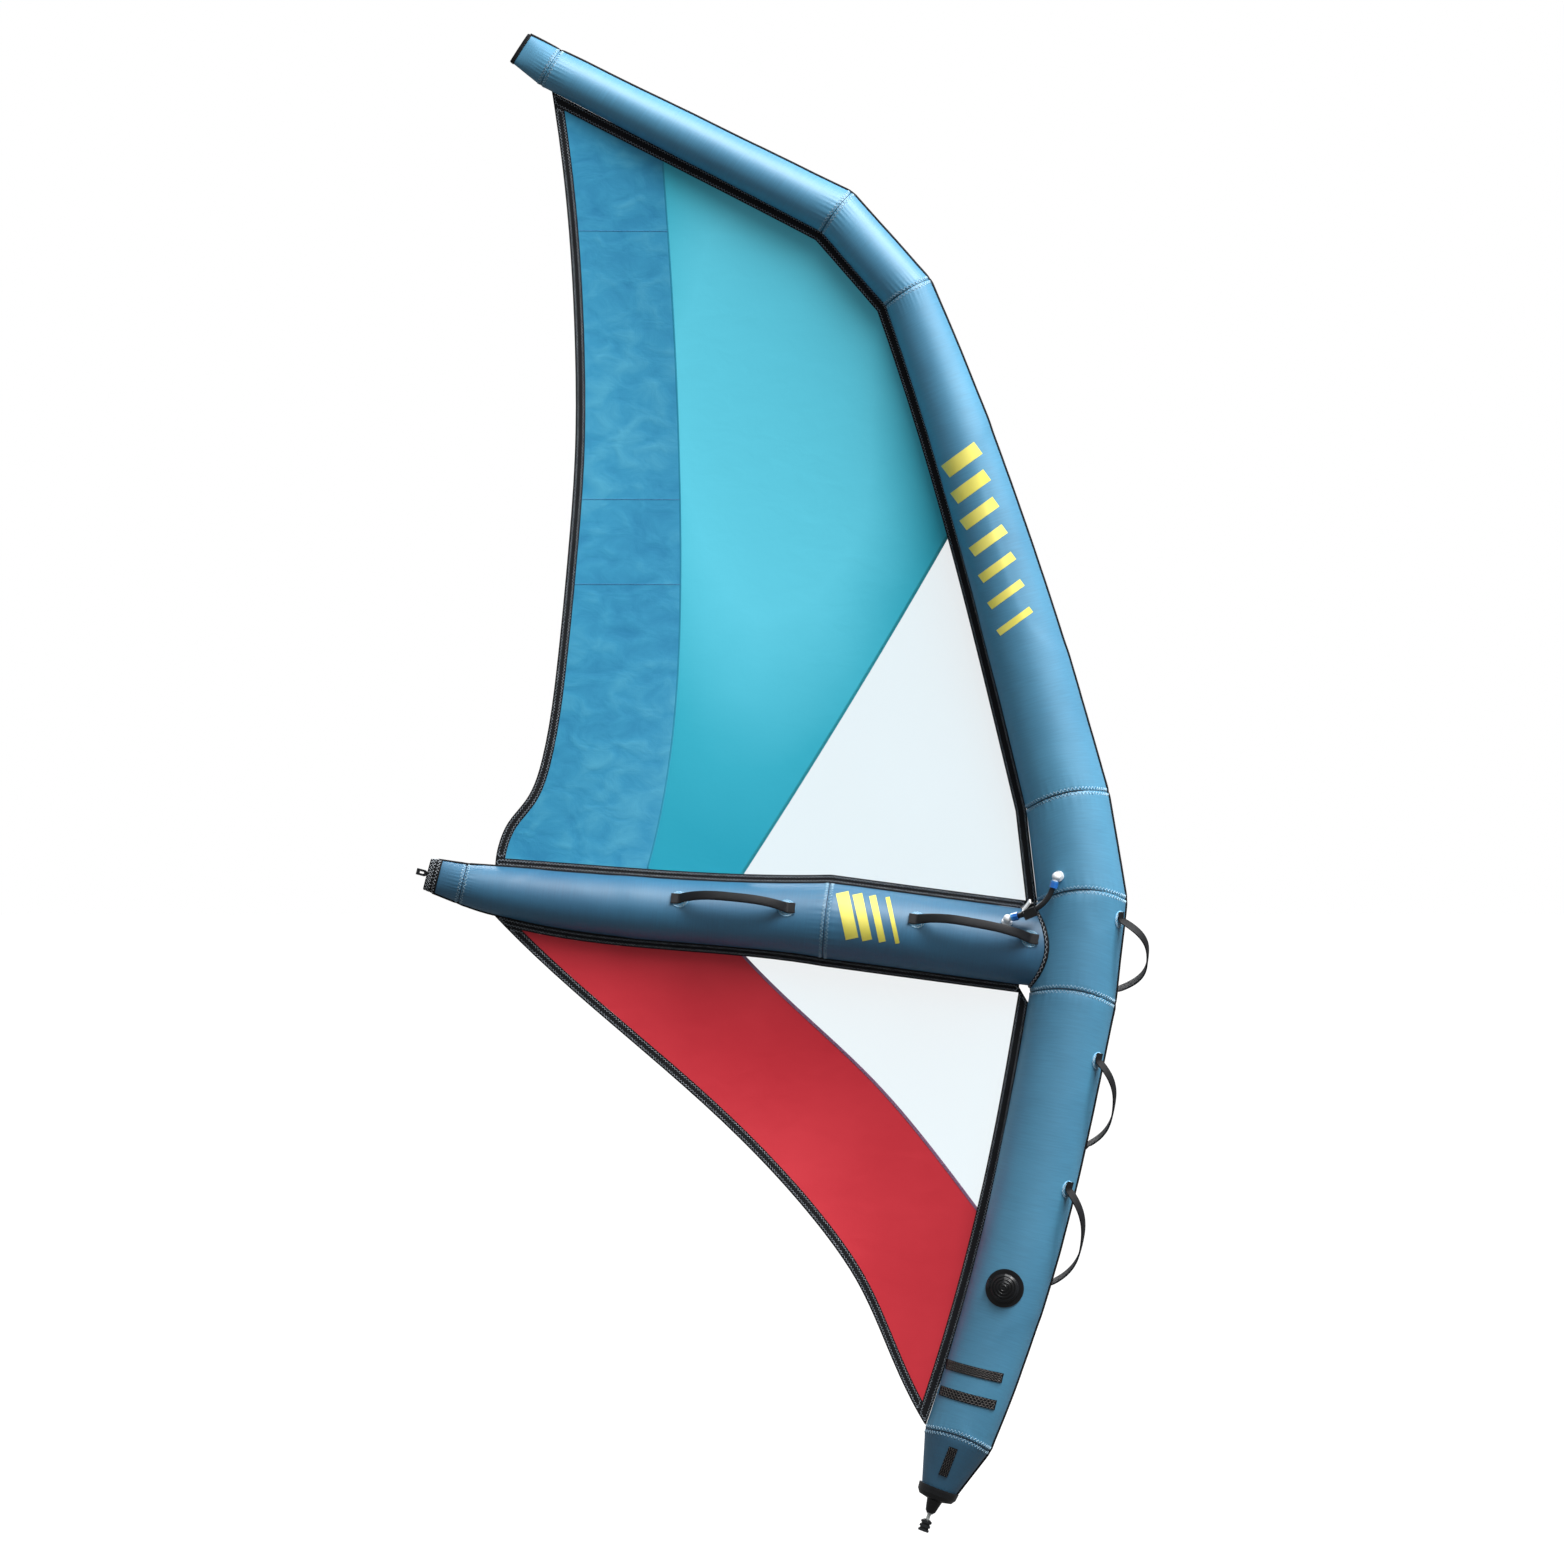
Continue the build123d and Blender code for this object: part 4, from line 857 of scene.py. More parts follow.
def clear_film(name):
    """Clear film over a white ground: faintly blue, glossy, with long soft ripples."""
    material, shader, add = new_material(name)
    place = object_place(add)
    tone = ramp(add, clouds(add, place, 2.0), (0.35, (94, 198, 226)), (0.65, (108, 206, 234)))
    shade(shader, Base_Color=tone, Normal=bumped(add, clouds(add, place, 5.0, 1.0), 0.12, 0.01),
          Roughness=0.22, Alpha=0.12)
    return material


# Half of the leech cloth's tone is painted shade, darker in the hollows of its creases; the rest
# drifts at random
leech_cloth = sail_cloth(
    "leech_cloth", ((0.36, (40, 130, 173)), (0.5, (53, 146, 186)), (0.64, (74, 162, 196))), 0.5
)
# The turquoise is painted lighter round the middle of its panel and darker towards its luff, foot
# and leech: painted light and shade
turquoise_cloth = sail_cloth(
    "turquoise_cloth", ((0.10, (30, 158, 184)), (0.34, (46, 170, 195)), (0.68, (92, 204, 228))),
    0.10, (-0.35, 2.62), (0.52, 1.05),
)
# A little of the red's tone is painted shade, darker in the hollows of its creases
red_cloth = sail_cloth("red_cloth", ((0.35, (199, 43, 56)), (0.65, (210, 52, 64))), 0.12)
film_clear = clear_film("window_film_clear")
panel_cloths = {
    "upper_leech_panel": leech_cloth, "upper_main_panel": turquoise_cloth,
    "upper_window": film_clear, "lower_main_panel": red_cloth, "lower_window": film_clear,
}
bellies, outlines = {}, {}
for side, panels in (("upper", UPPER_PANELS), ("lower", LOWER_PANELS)):
    bellies[side] = belly([name for name in nodes if name.startswith(side + "_")])
    for node, (width, length, area) in panels.items():
        panel, outlines[node] = cloth_piece(
            node + "_cloth", node, bellies[side], PANEL_HALF, panel_cloths[node]
        )


# ---- Canopy seams and edge tapes -----------------------------------------------------------------
# Strips of cloth cover the joins beside the windows, and folded black webbing is sewn over every
# edge of both canopies with two rows of zigzag stitches.

TAPE_HALF = 0.0017
TAPE_STEP = 0.008           # between the points of a tape
TAPE_STITCH = (0.0036, 0.0021, 0.0008)
TAPE_STITCH_INSET = 0.0048
SEAM_HALF = 0.0013
SEAM_STITCH = (0.003, 0.0011, 0.0004)
SEAM_STITCH_INSET = 0.0022
ROW_STEP = 0.004            # between the points that a row of stitches follows
ROW_SLACK = 0.0007          # how much nearer the edge than its inset a row may come
BEAD_RADIUS = 0.0038
BEAD_STEP = 0.002           # the least between its points
BEADS = (                   # aft and fore end, and the side of the boom
    ("boom_top_bead", -1.134, 0.195, max), ("boom_keel_bead", -1.150, 0.205, min),
)


def even_loop(loop, step):
    """A closed loop of points at even steps."""
    run = [(b - a).length for a, b in zip(loop, loop[1:] + loop[:1])]
    count = max(8, round(sum(run) / step))
    even, index, done = [], 0, 0.0
    for place in (sum(run) * i / count for i in range(count)):
        while place > done + run[index]:
            done += run[index]
            index += 1
        share = (place - done) / run[index] if run[index] else 0.0
        even.append(loop[index].lerp(loop[(index + 1) % len(loop)], share))
    return even


def rows_inside(loop, inset):
    """Runs of points that follow a closed loop at a distance inside it."""
    even = even_loop(loop, ROW_STEP)
    count = len(even)
    runs = [[]]
    for index, point in enumerate(even):
        along = even[(index + 2) % count] - even[index - 2]
        spot = point + Vector((-along.y, along.x)).normalized() * inset
        if min((spot - other).length for other in even) > inset - ROW_SLACK:
            runs[-1].append(spot)
        else:
            runs.append([])
    return [run for run in runs if len(run) > 3]


def both_faces(runs, depth, half):
    """Stitch paths on the front and the back of a canopy, along flat runs of points."""
    paths = []
    for run in runs:
        for face in (-1, 1):
            spots = [Vector((p.x, depth_at(depth, p.x, p.y) + face * half, p.y)) for p in run]
            paths.append([(spot, Vector((0, face, 0))) for spot in spots])
    return paths


# A tenth of each seam strip's tone is painted shade, darker in the hollows of its creases
window_seam_teal = sail_cloth(
    "window_seam_teal", ((0.35, (34, 142, 158)), (0.65, (42, 156, 172))), 0.1
)
window_seam_mauve = sail_cloth(
    "window_seam_mauve", ((0.35, (132, 96, 128)), (0.65, (150, 112, 140))), 0.1
)
grey_thread = plain_thread("light_grey_thread", (168, 176, 184), (112, 120, 128))
teal_thread = plain_thread("teal_thread", (52, 150, 168), (34, 120, 138))
mauve_thread = plain_thread("mauve_thread", (168, 128, 152), (128, 92, 122))
for node, cloth, thread in (
    ("upper_window_seam", window_seam_teal, teal_thread),
    ("lower_window_seam", window_seam_mauve, mauve_thread),
):
    depth = bellies[node.split("_")[0]]
    seam, outline = cloth_piece(node + "_strip", node, depth, SEAM_HALF, cloth)
    sewn(node + "_stitches", both_faces(rows_inside(outline, SEAM_STITCH_INSET), depth, SEAM_HALF),
         thread, SEAM_STITCH)

tape_paths = []
for node in (
    "upper_leech_tape", "upper_luff_tape", "upper_foot_tape",
    "lower_leech_tape", "lower_luff_tape", "lower_head_tape",
):
    depth = bellies[node.split("_")[0]]
    tape, outline = cloth_piece(node + "_webbing", node, depth, TAPE_HALF, black_tape, TAPE_STEP)
    tape_paths += both_faces(rows_inside(outline, TAPE_STITCH_INSET), depth, TAPE_HALF)
sewn("tape_stitches", tape_paths, grey_thread, TAPE_STITCH)

# A black bead runs along the top and the bottom of the boom and closes the join with each tape
boom_line = [row for piece, rows, gaps in boom_sleeves.values() for row in rows]
for name, aft, fore, pick in BEADS:
    line = [pick(row, key=lambda point: point.z) for row in boom_line]
    line = sorted((point for point in line if aft < point.x < fore), key=lambda point: point.x)
    line = [point for point, after in zip(line, line[1:]) if after.x - point.x > BEAD_STEP]
    bead = round_strand(name, [(point, Vector((0, -1, 0))) for point in line], BEAD_RADIUS)
    dress(bead, black_tape)


# ---- Panel joins ---------------------------------------------------------------------------------
# The leech panel is sewn to the main panel with a felled seam, and its own lengths of cloth are
# joined across with fine seams.

CROSS_SEAMS = (3.043, 2.415, 2.216)     # heights of the leech panel's own seams
CROSS_STEPS = 40
CROSS_STITCH = (0.0035, 0.0006, 0.0007)
JOIN_HALF = 0.0022
JOIN_FLAT = 0.25
JOIN_STEP = 0.006
JOIN_REACH = 0.0026         # the most that two panels' outlines lie apart at their join

# A tenth of the join cloth's tone is painted shade, darker in the hollows of its creases
join_cloth = sail_cloth("join_cloth", ((0.35, (36, 132, 162)), (0.65, (46, 146, 176))), 0.1)
blue_thread = plain_thread("mid_blue_thread", (66, 132, 176), (44, 104, 148))
leech_edge = even_loop(outlines["upper_leech_panel"], JOIN_STEP / 2)
join_run = [
    spot for spot in even_loop(outlines["upper_main_panel"], JOIN_STEP)
    if min((spot - other).length for other in leech_edge) < JOIN_REACH
]
join_run.sort(key=lambda spot: spot.y)
for number, path in enumerate(both_faces([join_run], bellies["upper"], PANEL_HALF)):
    strip = round_strand(f"leech_join_{number}", path, JOIN_HALF, flat=JOIN_FLAT)
    dress(strip, join_cloth)
cross_runs = []
for height in CROSS_SEAMS:
    cuts = crossings(outlines["upper_leech_panel"], height)
    places = [cuts[0] + (cuts[-1] - cuts[0]) * i / CROSS_STEPS for i in range(CROSS_STEPS + 1)]
    cross_runs.append([Vector((place, height)) for place in places])
sewn("leech_cross_seams", both_faces(cross_runs, bellies["upper"], PANEL_HALF), blue_thread,
     CROSS_STITCH)


# ---- Junction binding and end bindings -----------------------------------------------------------
# A braided black welt covers the seam where the boom meets the mast, with a chain of pale stitches
# down its middle. Webbing is folded over the flat ends of both tubes and sewn through.

WELT_RADIUS = 0.0068
WELT_FLAT = 0.8
WELT_CALM = 3               # points to each side that smooth its line
CHAIN_STITCH = (0.0060, 0.0024, 0.0009)
END_WEBBING = 0.0016        # thickness of the webbing over the flat ends
END_TUCK = 0.97             # how much of the end's size is left where it closes
END_STITCH = (0.0040, 0.0036, 0.0008)
END_ROWS = (0.15, 0.45, 0.75)               # places of the stitch rows along the boom's band
BOOM_END_LENGTH = 0.030
MAST_TIP_LENGTH = 0.008
LOOP_WEBBING = 0.003
LOOP_OPENING = 0.52         # share of the loop's inner size that stays open
LOOP_CREASE = 40

chain_thread = plain_thread("chain_thread", (206, 212, 218), (150, 158, 166))
boom_rows = boom_sleeves["boom_inner_sleeve"][1]
seam_line = []
for column in range(AROUND):
    for near, far in zip(boom_rows, boom_rows[1:]):
        inner_depth, outer_depth = mast_depth(near[column]), mast_depth(far[column])
        if inner_depth > 0 >= outer_depth:
            point = near[column].lerp(far[column], inner_depth / (inner_depth - outer_depth))
            out = (point - middle_of(near)).normalized() + mast_tree.find_nearest(point)[1]
            seam_line.append((point, out.normalized()))
            break
welt_path = []
for index in range(len(seam_line)):
    steps = range(index - WELT_CALM, index + WELT_CALM + 1)
    around = [seam_line[step % len(seam_line)] for step in steps]
    point, out = (middle_of(part) for part in zip(*around))
    welt_path.append((point, out.normalized()))
welt = round_strand("junction_welt", welt_path, WELT_RADIUS, sides=16, flat=WELT_FLAT, closed=True)
dress(welt, black_tape, "boom_junction_binding")
chain = [(point + out * WELT_RADIUS * WELT_FLAT, out) for point, out in welt_path + welt_path[:1]]
sewn("junction_chain", [chain, chain[::-1]], chain_thread, CHAIN_STITCH)


def end_band(name, node, sleeves, cap, length):
    """Webbing folded over a tube's flat end: a band round it, closed across the end."""
    piece, rows, gaps = sleeves[cap]
    ways = [vert.normal.copy() for vert in piece.data.vertices]
    kept = [index for index, gap in enumerate(gaps) if gap[1] <= length]
    band = [rows[kept[0]]]
    for index in kept:
        outward = ways[index * AROUND:(index + 1) * AROUND]
        band.append([p + way * END_WEBBING for p, way in zip(rows[index], outward)])
    middle = middle_of(rows[-1])
    along = (middle - middle_of(rows[0])).normalized()
    band.append([middle + (p - middle) * END_TUCK + along * END_WEBBING for p in band[-1]])
    dress(ring_piece(name, band, False, True), black_tape, node)
    return band


def ring_row(band, share):
    """A closed path round a band, part of the way along it, with the way out of the cloth."""
    at = 1 + share * (len(band) - 3)
    index = min(int(at), len(band) - 3)
    ring = [a.lerp(b, at - index) for a, b in zip(band[index], band[index + 1])]
    centre = middle_of(ring)
    path = []
    for step, point in enumerate(ring):
        run = ring[(step + 1) % len(ring)] - ring[step - 1]
        out = run.cross((band[-2][step] - band[1][step]).normalized())
        path.append((point, out.normalized() * (1 if out.dot(point - centre) > 0 else -1)))
    return path + path[:1]


boom_band = end_band(
    "boom_end_webbing", "boom_end_binding", boom_sleeves, "boom_tip_cap", BOOM_END_LENGTH
)
end_band("mast_tip_webbing", "mast_tip_binding", mast_sleeves, "mast_tip_cap", MAST_TIP_LENGTH)
band_rows = [ring_row(boom_band, share) for share in END_ROWS]
sewn("boom_end_stitches", band_rows, chain_thread, END_STITCH)
loop_webbing = woven_tape("loop_webbing", (8, 9, 11), (26, 27, 31))

# The pull loop is webbing folded double, so that only a small opening is left in it
bm = bmesh.new()
bm.from_mesh(nodes["boom_end_loop"].data)
bmesh.ops.remove_doubles(bm, verts=bm.verts, dist=MERGE_REACH)
bm.verts.index_update()
spots = [vert.co.copy() for vert in bm.verts]
corners = [[vert.index for vert in face.verts] for face in bm.faces]
bm.free()
aft = min(spots, key=lambda spot: spot.x)
crown = max(spots, key=lambda spot: spot.z)
up = Vector((crown.x - aft.x, 0.0, crown.z - aft.z)).normalized()
fore = Vector((up.z, 0.0, -up.x))
half = (max(spot.dot(up) for spot in spots) - min(spot.dot(up) for spot in spots)) / 2
level = max(spot.dot(up) for spot in spots) - half
front = max(spot.dot(fore) for spot in spots)
length = front - min(spot.dot(fore) for spot in spots)
for spot in spots:
    back, rise = front - spot.dot(fore), spot.dot(up) - level
    inset = min(half - math.hypot(min(back - half, 0.0), rise), length - back)
    if inset > LOOP_WEBBING / 2:
        spot += fore * ((back - length / 2) * (1 - LOOP_OPENING)) - up * (rise * (1 - LOOP_OPENING))
pull = new_piece("boom_end_pull", spots, corners)
pull.data.set_sharp_from_angle(angle=math.radians(LOOP_CREASE))
dress(pull, loop_webbing, "boom_end_loop")


# ---- Foot webbing --------------------------------------------------------------------------------
# Three flat strips of webbing are sewn to the foot of the mast, each with rows of zigzag stitches
# from edge to edge.

FOOT_STRIPS = (             # x, z, width, height, and turn as the sailor sees it
    (0.120, 0.377, 0.132, 0.023, -13.5), (0.104, 0.315, 0.132, 0.023, -14.5),
    (0.058, 0.166, 0.071, 0.021, 69.5),
)
STRIP_LIFT = 0.0021
STRIP_GRID = (36, 8)
STRIP_STITCH = (0.0046, 0.0021, 0.0008)
STRIP_STITCH_GRID = (40, 3)
STRIP_SEWN = (0.95, 0.72)   # shares of its width and height that the stitches cover
PATCH_CREASE = 60
RIM_LIFT = 0.0001           # of a patch's turned-down rim over the cloth


def on_tube(tree, x, z):
    """The point of a tube's cloth that the sailor sees at a place, and the way out of it there."""
    point, out = tree.ray_cast(Vector((x, -1, z)), Vector((0, 1, 0)))[:2]
    return point, out


def turned_grid(centre, width, height, turn, across, up):
    """Rows of (x, z) over a turned rectangle."""
    cos, sin = math.cos(math.radians(turn)), math.sin(math.radians(turn))
    wide = [width * (i / across - 0.5) for i in range(across + 1)]
    high = [height * (k / up - 0.5) for k in range(up + 1)]
    return [
        [(centre[0] + u * cos - v * sin, centre[1] + u * sin + v * cos) for u in wide]
        for v in high
    ]


def lifted_grid(name, tree, places, lift):
    """A thin raised patch over a grid of places on a tube, with its rim turned down."""
    grid = [[on_tube(tree, x, z) for x, z in row] for row in places]
    rim = [grid[0]] + grid + [grid[-1]]
    points, faces = [], []
    for number, row in enumerate(rim):
        held = [row[0]] + row + [row[-1]]
        for index, (point, out) in enumerate(held):
            low = number in (0, len(rim) - 1) or index in (0, len(held) - 1)
            points.append(point + out * (RIM_LIFT if low else lift))
    wide = len(rim[0]) + 2
    for k in range(len(rim) - 1):
        for i in range(wide - 1):
            a = k * wide + i
            faces.append((a, a + 1, a + wide + 1, a + wide))
    piece = new_piece(name, points, faces)
    piece.data.set_sharp_from_angle(angle=math.radians(PATCH_CREASE))
    return piece


brown_thread = plain_thread("grey_brown_thread", (106, 102, 99), (70, 67, 66))
strip_rows = []
for number, (x, z, width, height, turn) in enumerate(FOOT_STRIPS):
    places = turned_grid((x, z), width, height, turn, *STRIP_GRID)
    strip = lifted_grid(f"foot_strip_{number}", mast_tree, places, STRIP_LIFT)
    dress(strip, black_tape, "foot_webbing_strips")
    sewn_size = (width * STRIP_SEWN[0], height * STRIP_SEWN[1])
    for row in turned_grid((x, z), *sewn_size, turn, *STRIP_STITCH_GRID):
        path = [on_tube(mast_tree, *place) for place in row]
        strip_rows.append([(point + out * STRIP_LIFT, out) for point, out in path])
sewn("foot_strip_stitches", strip_rows, brown_thread, STRIP_STITCH)


# ---- Yellow bars ---------------------------------------------------------------------------------
# Groups of plain slanted bars mark the mast and the boom. They are cut from thin yellow film and
# pressed on the cloth with heat.

BAR_GROUPS = (              # x and z of the first and the last bar's middle, bar length, widths
    ("mast", (0.090, 2.505), (0.213, 2.128), 0.094,
     (0.034, 0.031, 0.028, 0.025, 0.022, 0.019, 0.016)),
    ("boom", (-0.178, 1.441), (-0.072, 1.430), 0.110, (0.030, 0.023, 0.016, 0.010)),
)
BAR_SLANT = 18.0
BAR_GRID = (20, 4)
FILM_LIFT = 0.0004


def yellow_film(name):
    """Matt yellow film, a little uneven, with the weave below showing through."""
    material, shader, add = new_material(name)
    place = object_place(add)
    tone = ramp(add, clouds(add, place, 9.0, 3.0), (0.35, (222, 212, 84)), (0.65, (240, 230, 118)))
    shade(shader, Base_Color=tone, Normal=bumped(add, weave(add, place, 330.0), 0.08, 0.0003),
          Roughness=0.55)
    return material


film_yellow = yellow_film("bar_film")
for tube, first, last, length, widths in BAR_GROUPS:
    tree = mast_tree if tube == "mast" else boom_tree
    start, end = Vector(first), Vector(last)
    turn = math.degrees(math.atan2((end - start).y, (end - start).x)) + 90 + BAR_SLANT
    for number, width in enumerate(widths):
        spot = start.lerp(end, number / (len(widths) - 1))
        places = turned_grid(spot, length, width, turn, *BAR_GRID)
        bar = lifted_grid(f"{tube}_bar_{number}", tree, places, FILM_LIFT)
        dress(bar, film_yellow)


# ---- Handles and their patches -------------------------------------------------------------------
# Each handle is a length of black webbing that arches off the tube between two sewn ends. Every end
# is backed by a round patch of the tube's cloth, held by two rings of pale stitches.

WEBBING_WIDTH = 0.025
WEBBING_HALF = 0.0016
WEBBING_SIDES = 20          # points round the webbing
HANDLE_TAB = 0.020          # sewn flat at each end
HANDLE_SEAT = 0.0037        # of the webbing's middle over the tube
WEBBING_CREASE = 70
GRIP_HALF = 0.0036          # half thickness of the webbing where it is folded to a grip
GRIP_FOLDS = {"boom": 1.0, "mast": 0.25}    # how far each tube's handles are folded
GRIP_NARROWING = 0.10
EDGE_ROUND = 0.35           # of the flat webbing's edges; 1 is a full round
GRIP_ROUND = 0.45           # more of it at a grip
PATCH_RADIUS = 0.021
PATCH_LIFT = 0.0013
PATCH_PROFILE = (           # shares of its radius, and its lift there
    (0.0, PATCH_LIFT), (0.25, PATCH_LIFT), (0.5, PATCH_LIFT), (0.75, PATCH_LIFT),
    (0.92, PATCH_LIFT), (0.98, PATCH_LIFT * 0.7), (1.0, RIM_LIFT),
)
PATCH_AROUND = 48
PATCH_STITCH = (0.0034, 0.0012, 0.0009)
PATCH_STITCH_AROUND = 72
PATCH_STITCH_RADII = (0.0152, 0.0188)
OUTER_ENDS = ((-0.571, 22), (-0.321, 17))
INNER_ENDS = ((-0.019, 20), (0.246, 16))
HANDLES = {                 # tube, ends along it with their turn round it, rise and side
    "boom_handle_outer_front": ("boom", OUTER_ENDS, 0.044, -1),
    "boom_handle_inner_front": ("boom", INNER_ENDS, 0.044, -1),
    "boom_handle_outer_back": ("boom", OUTER_ENDS, 0.044, 1),
    "boom_handle_inner_back": ("boom", INNER_ENDS, 0.044, 1),
    "mast_handle_upper": ("mast", ((1.440, 62), (1.275, 106)), 0.062, -1),
    "mast_handle_middle": ("mast", ((1.118, 58), (0.918, 106)), 0.044, -1),
    "mast_handle_lower": ("mast", ((0.820, 54), (0.600, 106)), 0.044, -1),
}
HANDLE_STEPS = 60
TUBE_CLEAR = 0.3            # from a tube's middle, well outside its cloth
PATCH_CLEAR = 0.05          # from its cloth
tube_parts = {              # rings, cloth, and the axis that a place along the tube is given on
    "mast": (MAST_RINGS, mast_tree, 1), "boom": (BOOM_RINGS, boom_tree, 0),
}


def tube_place(tube, value, angle, side):
    """A place on a tube's cloth: the point, the way along the tube and the way out."""
    rings, tree, which = tube_parts[tube]
    for a, b in zip(rings, rings[1:]):
        if min(a[which], b[which]) <= value <= max(a[which], b[which]):
            share = (value - a[which]) / (b[which] - a[which])
            centre = Vector((a[0], 0, a[1])).lerp(Vector((b[0], 0, b[1])), share)
            run = Vector((b[0] - a[0], 0, b[1] - a[1])).normalized()
            rise, reach = math.sin(math.radians(angle)), math.cos(math.radians(angle))
            out = Vector((run.z * rise, side * reach, -run.x * rise))
            return tree.ray_cast(centre + out * TUBE_CLEAR, -out)[0], run, out
    raise ValueError("no such place on the tube")


def handle_path(tube, ends, rise, side):
    """The webbing's middle, from one tab's end to the other's: (point, out, share of the loop)."""
    (start, start_turn), (finish, finish_turn) = ends
    first = tube_place(tube, start, start_turn, side)[0]
    tab = HANDLE_TAB / (tube_place(tube, finish, finish_turn, side)[0] - first).length
    path = []
    for step in range(HANDLE_STEPS + 1):
        share = -tab + (1 + 2 * tab) * step / HANDLE_STEPS
        held = min(max(share, 0), 1)
        turn = start_turn + held * (finish_turn - start_turn)
        point, run, out = tube_place(tube, start + share * (finish - start), turn, side)
        lift = rise * max(1 - abs(2 * share - 1) ** 3, 0)
        path.append((point + out * (HANDLE_SEAT + lift), out, share))
    return path


def webbing_strap(name, path, fold):
    """A webbing strap along a path: flat at its ends, and folded over where it is gripped."""
    points, map_rows = [], []
    run_length = 0.0
    for index, (point, out, share) in enumerate(path):
        ahead, behind = path[min(index + 1, len(path) - 1)], path[max(index - 1, 0)]
        along = (ahead[0] - behind[0]).normalized()
        side = out.cross(along).normalized()
        lifted = along.cross(side)
        if index:
            run_length += (point - path[index - 1][0]).length
        grip = max(0.0, 1 - abs(2 * share - 1) ** 6) * fold
        wide = WEBBING_WIDTH / 2 * (1 - GRIP_NARROWING * grip)
        thick = WEBBING_HALF + (GRIP_HALF - WEBBING_HALF) * grip
        corner = EDGE_ROUND + GRIP_ROUND * grip
        for cos, sin in circle(WEBBING_SIDES):
            u = math.copysign(abs(cos) ** corner, cos)
            v = math.copysign(abs(sin) ** corner, sin)
            points.append(point + side * (u * wide) + lifted * (v * thick))
            map_rows.append((run_length, (u + 2 * (v > 0)) * wide))
    strap = new_piece(name, points, strand_faces(len(path), WEBBING_SIDES))
    layer = strap.data.uv_layers.new(name="webbing")
    for loop in strap.data.loops:
        layer.data[loop.index].uv = map_rows[loop.vertex_index]
    strap.data.set_sharp_from_angle(angle=math.radians(WEBBING_CREASE))
    return strap


def ribbed_webbing(name):
    """Black nylon webbing: ribs under a herringbone of cross threads, greyer where rubbed."""
    material, shader, add = new_material(name)
    flat = add("ShaderNodeUVMap", uv_map="webbing")["UV"]
    threads = ribs(add, flat, 190.0, "DIAGONAL", Distortion=0.6)
    raised = maths(add, "ADD", maths(add, "MULTIPLY", ribs(add, flat, 110.0, "Y"), 0.6),
                   maths(add, "MULTIPLY", threads, 0.4))
    rubbed = maths(add, "MULTIPLY", raised, clouds(add, object_place(add), 22.0, 4.0))
    shade(shader, Base_Color=ramp(add, rubbed, (0.05, (7, 8, 10)), (0.6, (28, 29, 33))),
          Normal=bumped(add, raised, 0.5, 0.0005), Roughness=0.6, Specular_IOR_Level=0.25)
    return material


def round_patch(name, tube, point, out):
    """A round patch that follows the tube's cloth, its rim turned down, and its stitch paths."""
    tree = tube_parts[tube][1]
    side = out.cross(Vector((0, 0, 1))).normalized()
    up = side.cross(out)

    def ring_on_cloth(reach, lift, count):
        """Points of the cloth round the patch's middle, lifted off it."""
        ring = []
        for cos, sin in circle(count):
            start = point + side * (reach * cos) + up * (reach * sin) + out * PATCH_CLEAR
            ring.append(tree.ray_cast(start, -out)[0] + out * lift)
        return ring

    rows = [
        ring_on_cloth(PATCH_RADIUS * reach, lift, PATCH_AROUND) for reach, lift in PATCH_PROFILE
    ]
    piece = ring_piece(name, rows, False, False)
    bm = bmesh.new()
    bm.from_mesh(piece.data)
    bmesh.ops.remove_doubles(bm, verts=bm.verts, dist=MERGE_REACH)
    bmesh.ops.recalc_face_normals(bm, faces=bm.faces)
    if sum(face.normal.dot(out) for face in bm.faces) < 0:
        bmesh.ops.reverse_faces(bm, faces=bm.faces)
    bm.to_mesh(piece.data)
    bm.free()
    rings = [
        ring_on_cloth(reach, PATCH_LIFT, PATCH_STITCH_AROUND) for reach in PATCH_STITCH_RADII
    ]
    return piece, [[(point, out) for point in ring + ring[:1]] for ring in rings]


def patch_cloth(name):
    """The tube's satin cloth, doubled: a plain weave with soft patches of tone."""
    material, shader, add = new_material(name)
    place = object_place(add)
    tone = ramp(add, clouds(add, place, 20.0), (0.3, (78, 150, 190)), (0.7, (98, 170, 208)))
    shade(shader, Base_Color=tone, Normal=bumped(add, weave(add, place, 420.0), 0.15, 0.0004),
          Roughness=0.42)
    return material


handle_webbing = ribbed_webbing("handle_webbing")
patch_blue = patch_cloth("patch_cloth")
patch_thread = plain_thread("patch_thread", (196, 220, 234), (150, 188, 210))
patch_rings = []
for node, (tube, ends, rise, side) in HANDLES.items():
    path = handle_path(tube, ends, rise, side)
    strap = webbing_strap(node + "_strap", path, GRIP_FOLDS[tube])
    dress(strap, handle_webbing, node)
    for number, (value, turn) in enumerate(ends):
        point, run, out = tube_place(tube, value, turn, side)
        patch, paths = round_patch(f"{node}_patch_{number}", tube, point, out)
        dress(patch, patch_blue, "handle_patches")
        patch_rings += paths
sewn("patch_stitches", patch_rings, patch_thread, PATCH_STITCH)


# ---- Inflation valve -----------------------------------------------------------------------------
# A soft valve body is welded to a skirt inside the mast. Its domed cap turns on a hinge at the
# ring, over a spring-loaded plunger that lets the air out when it is pressed.

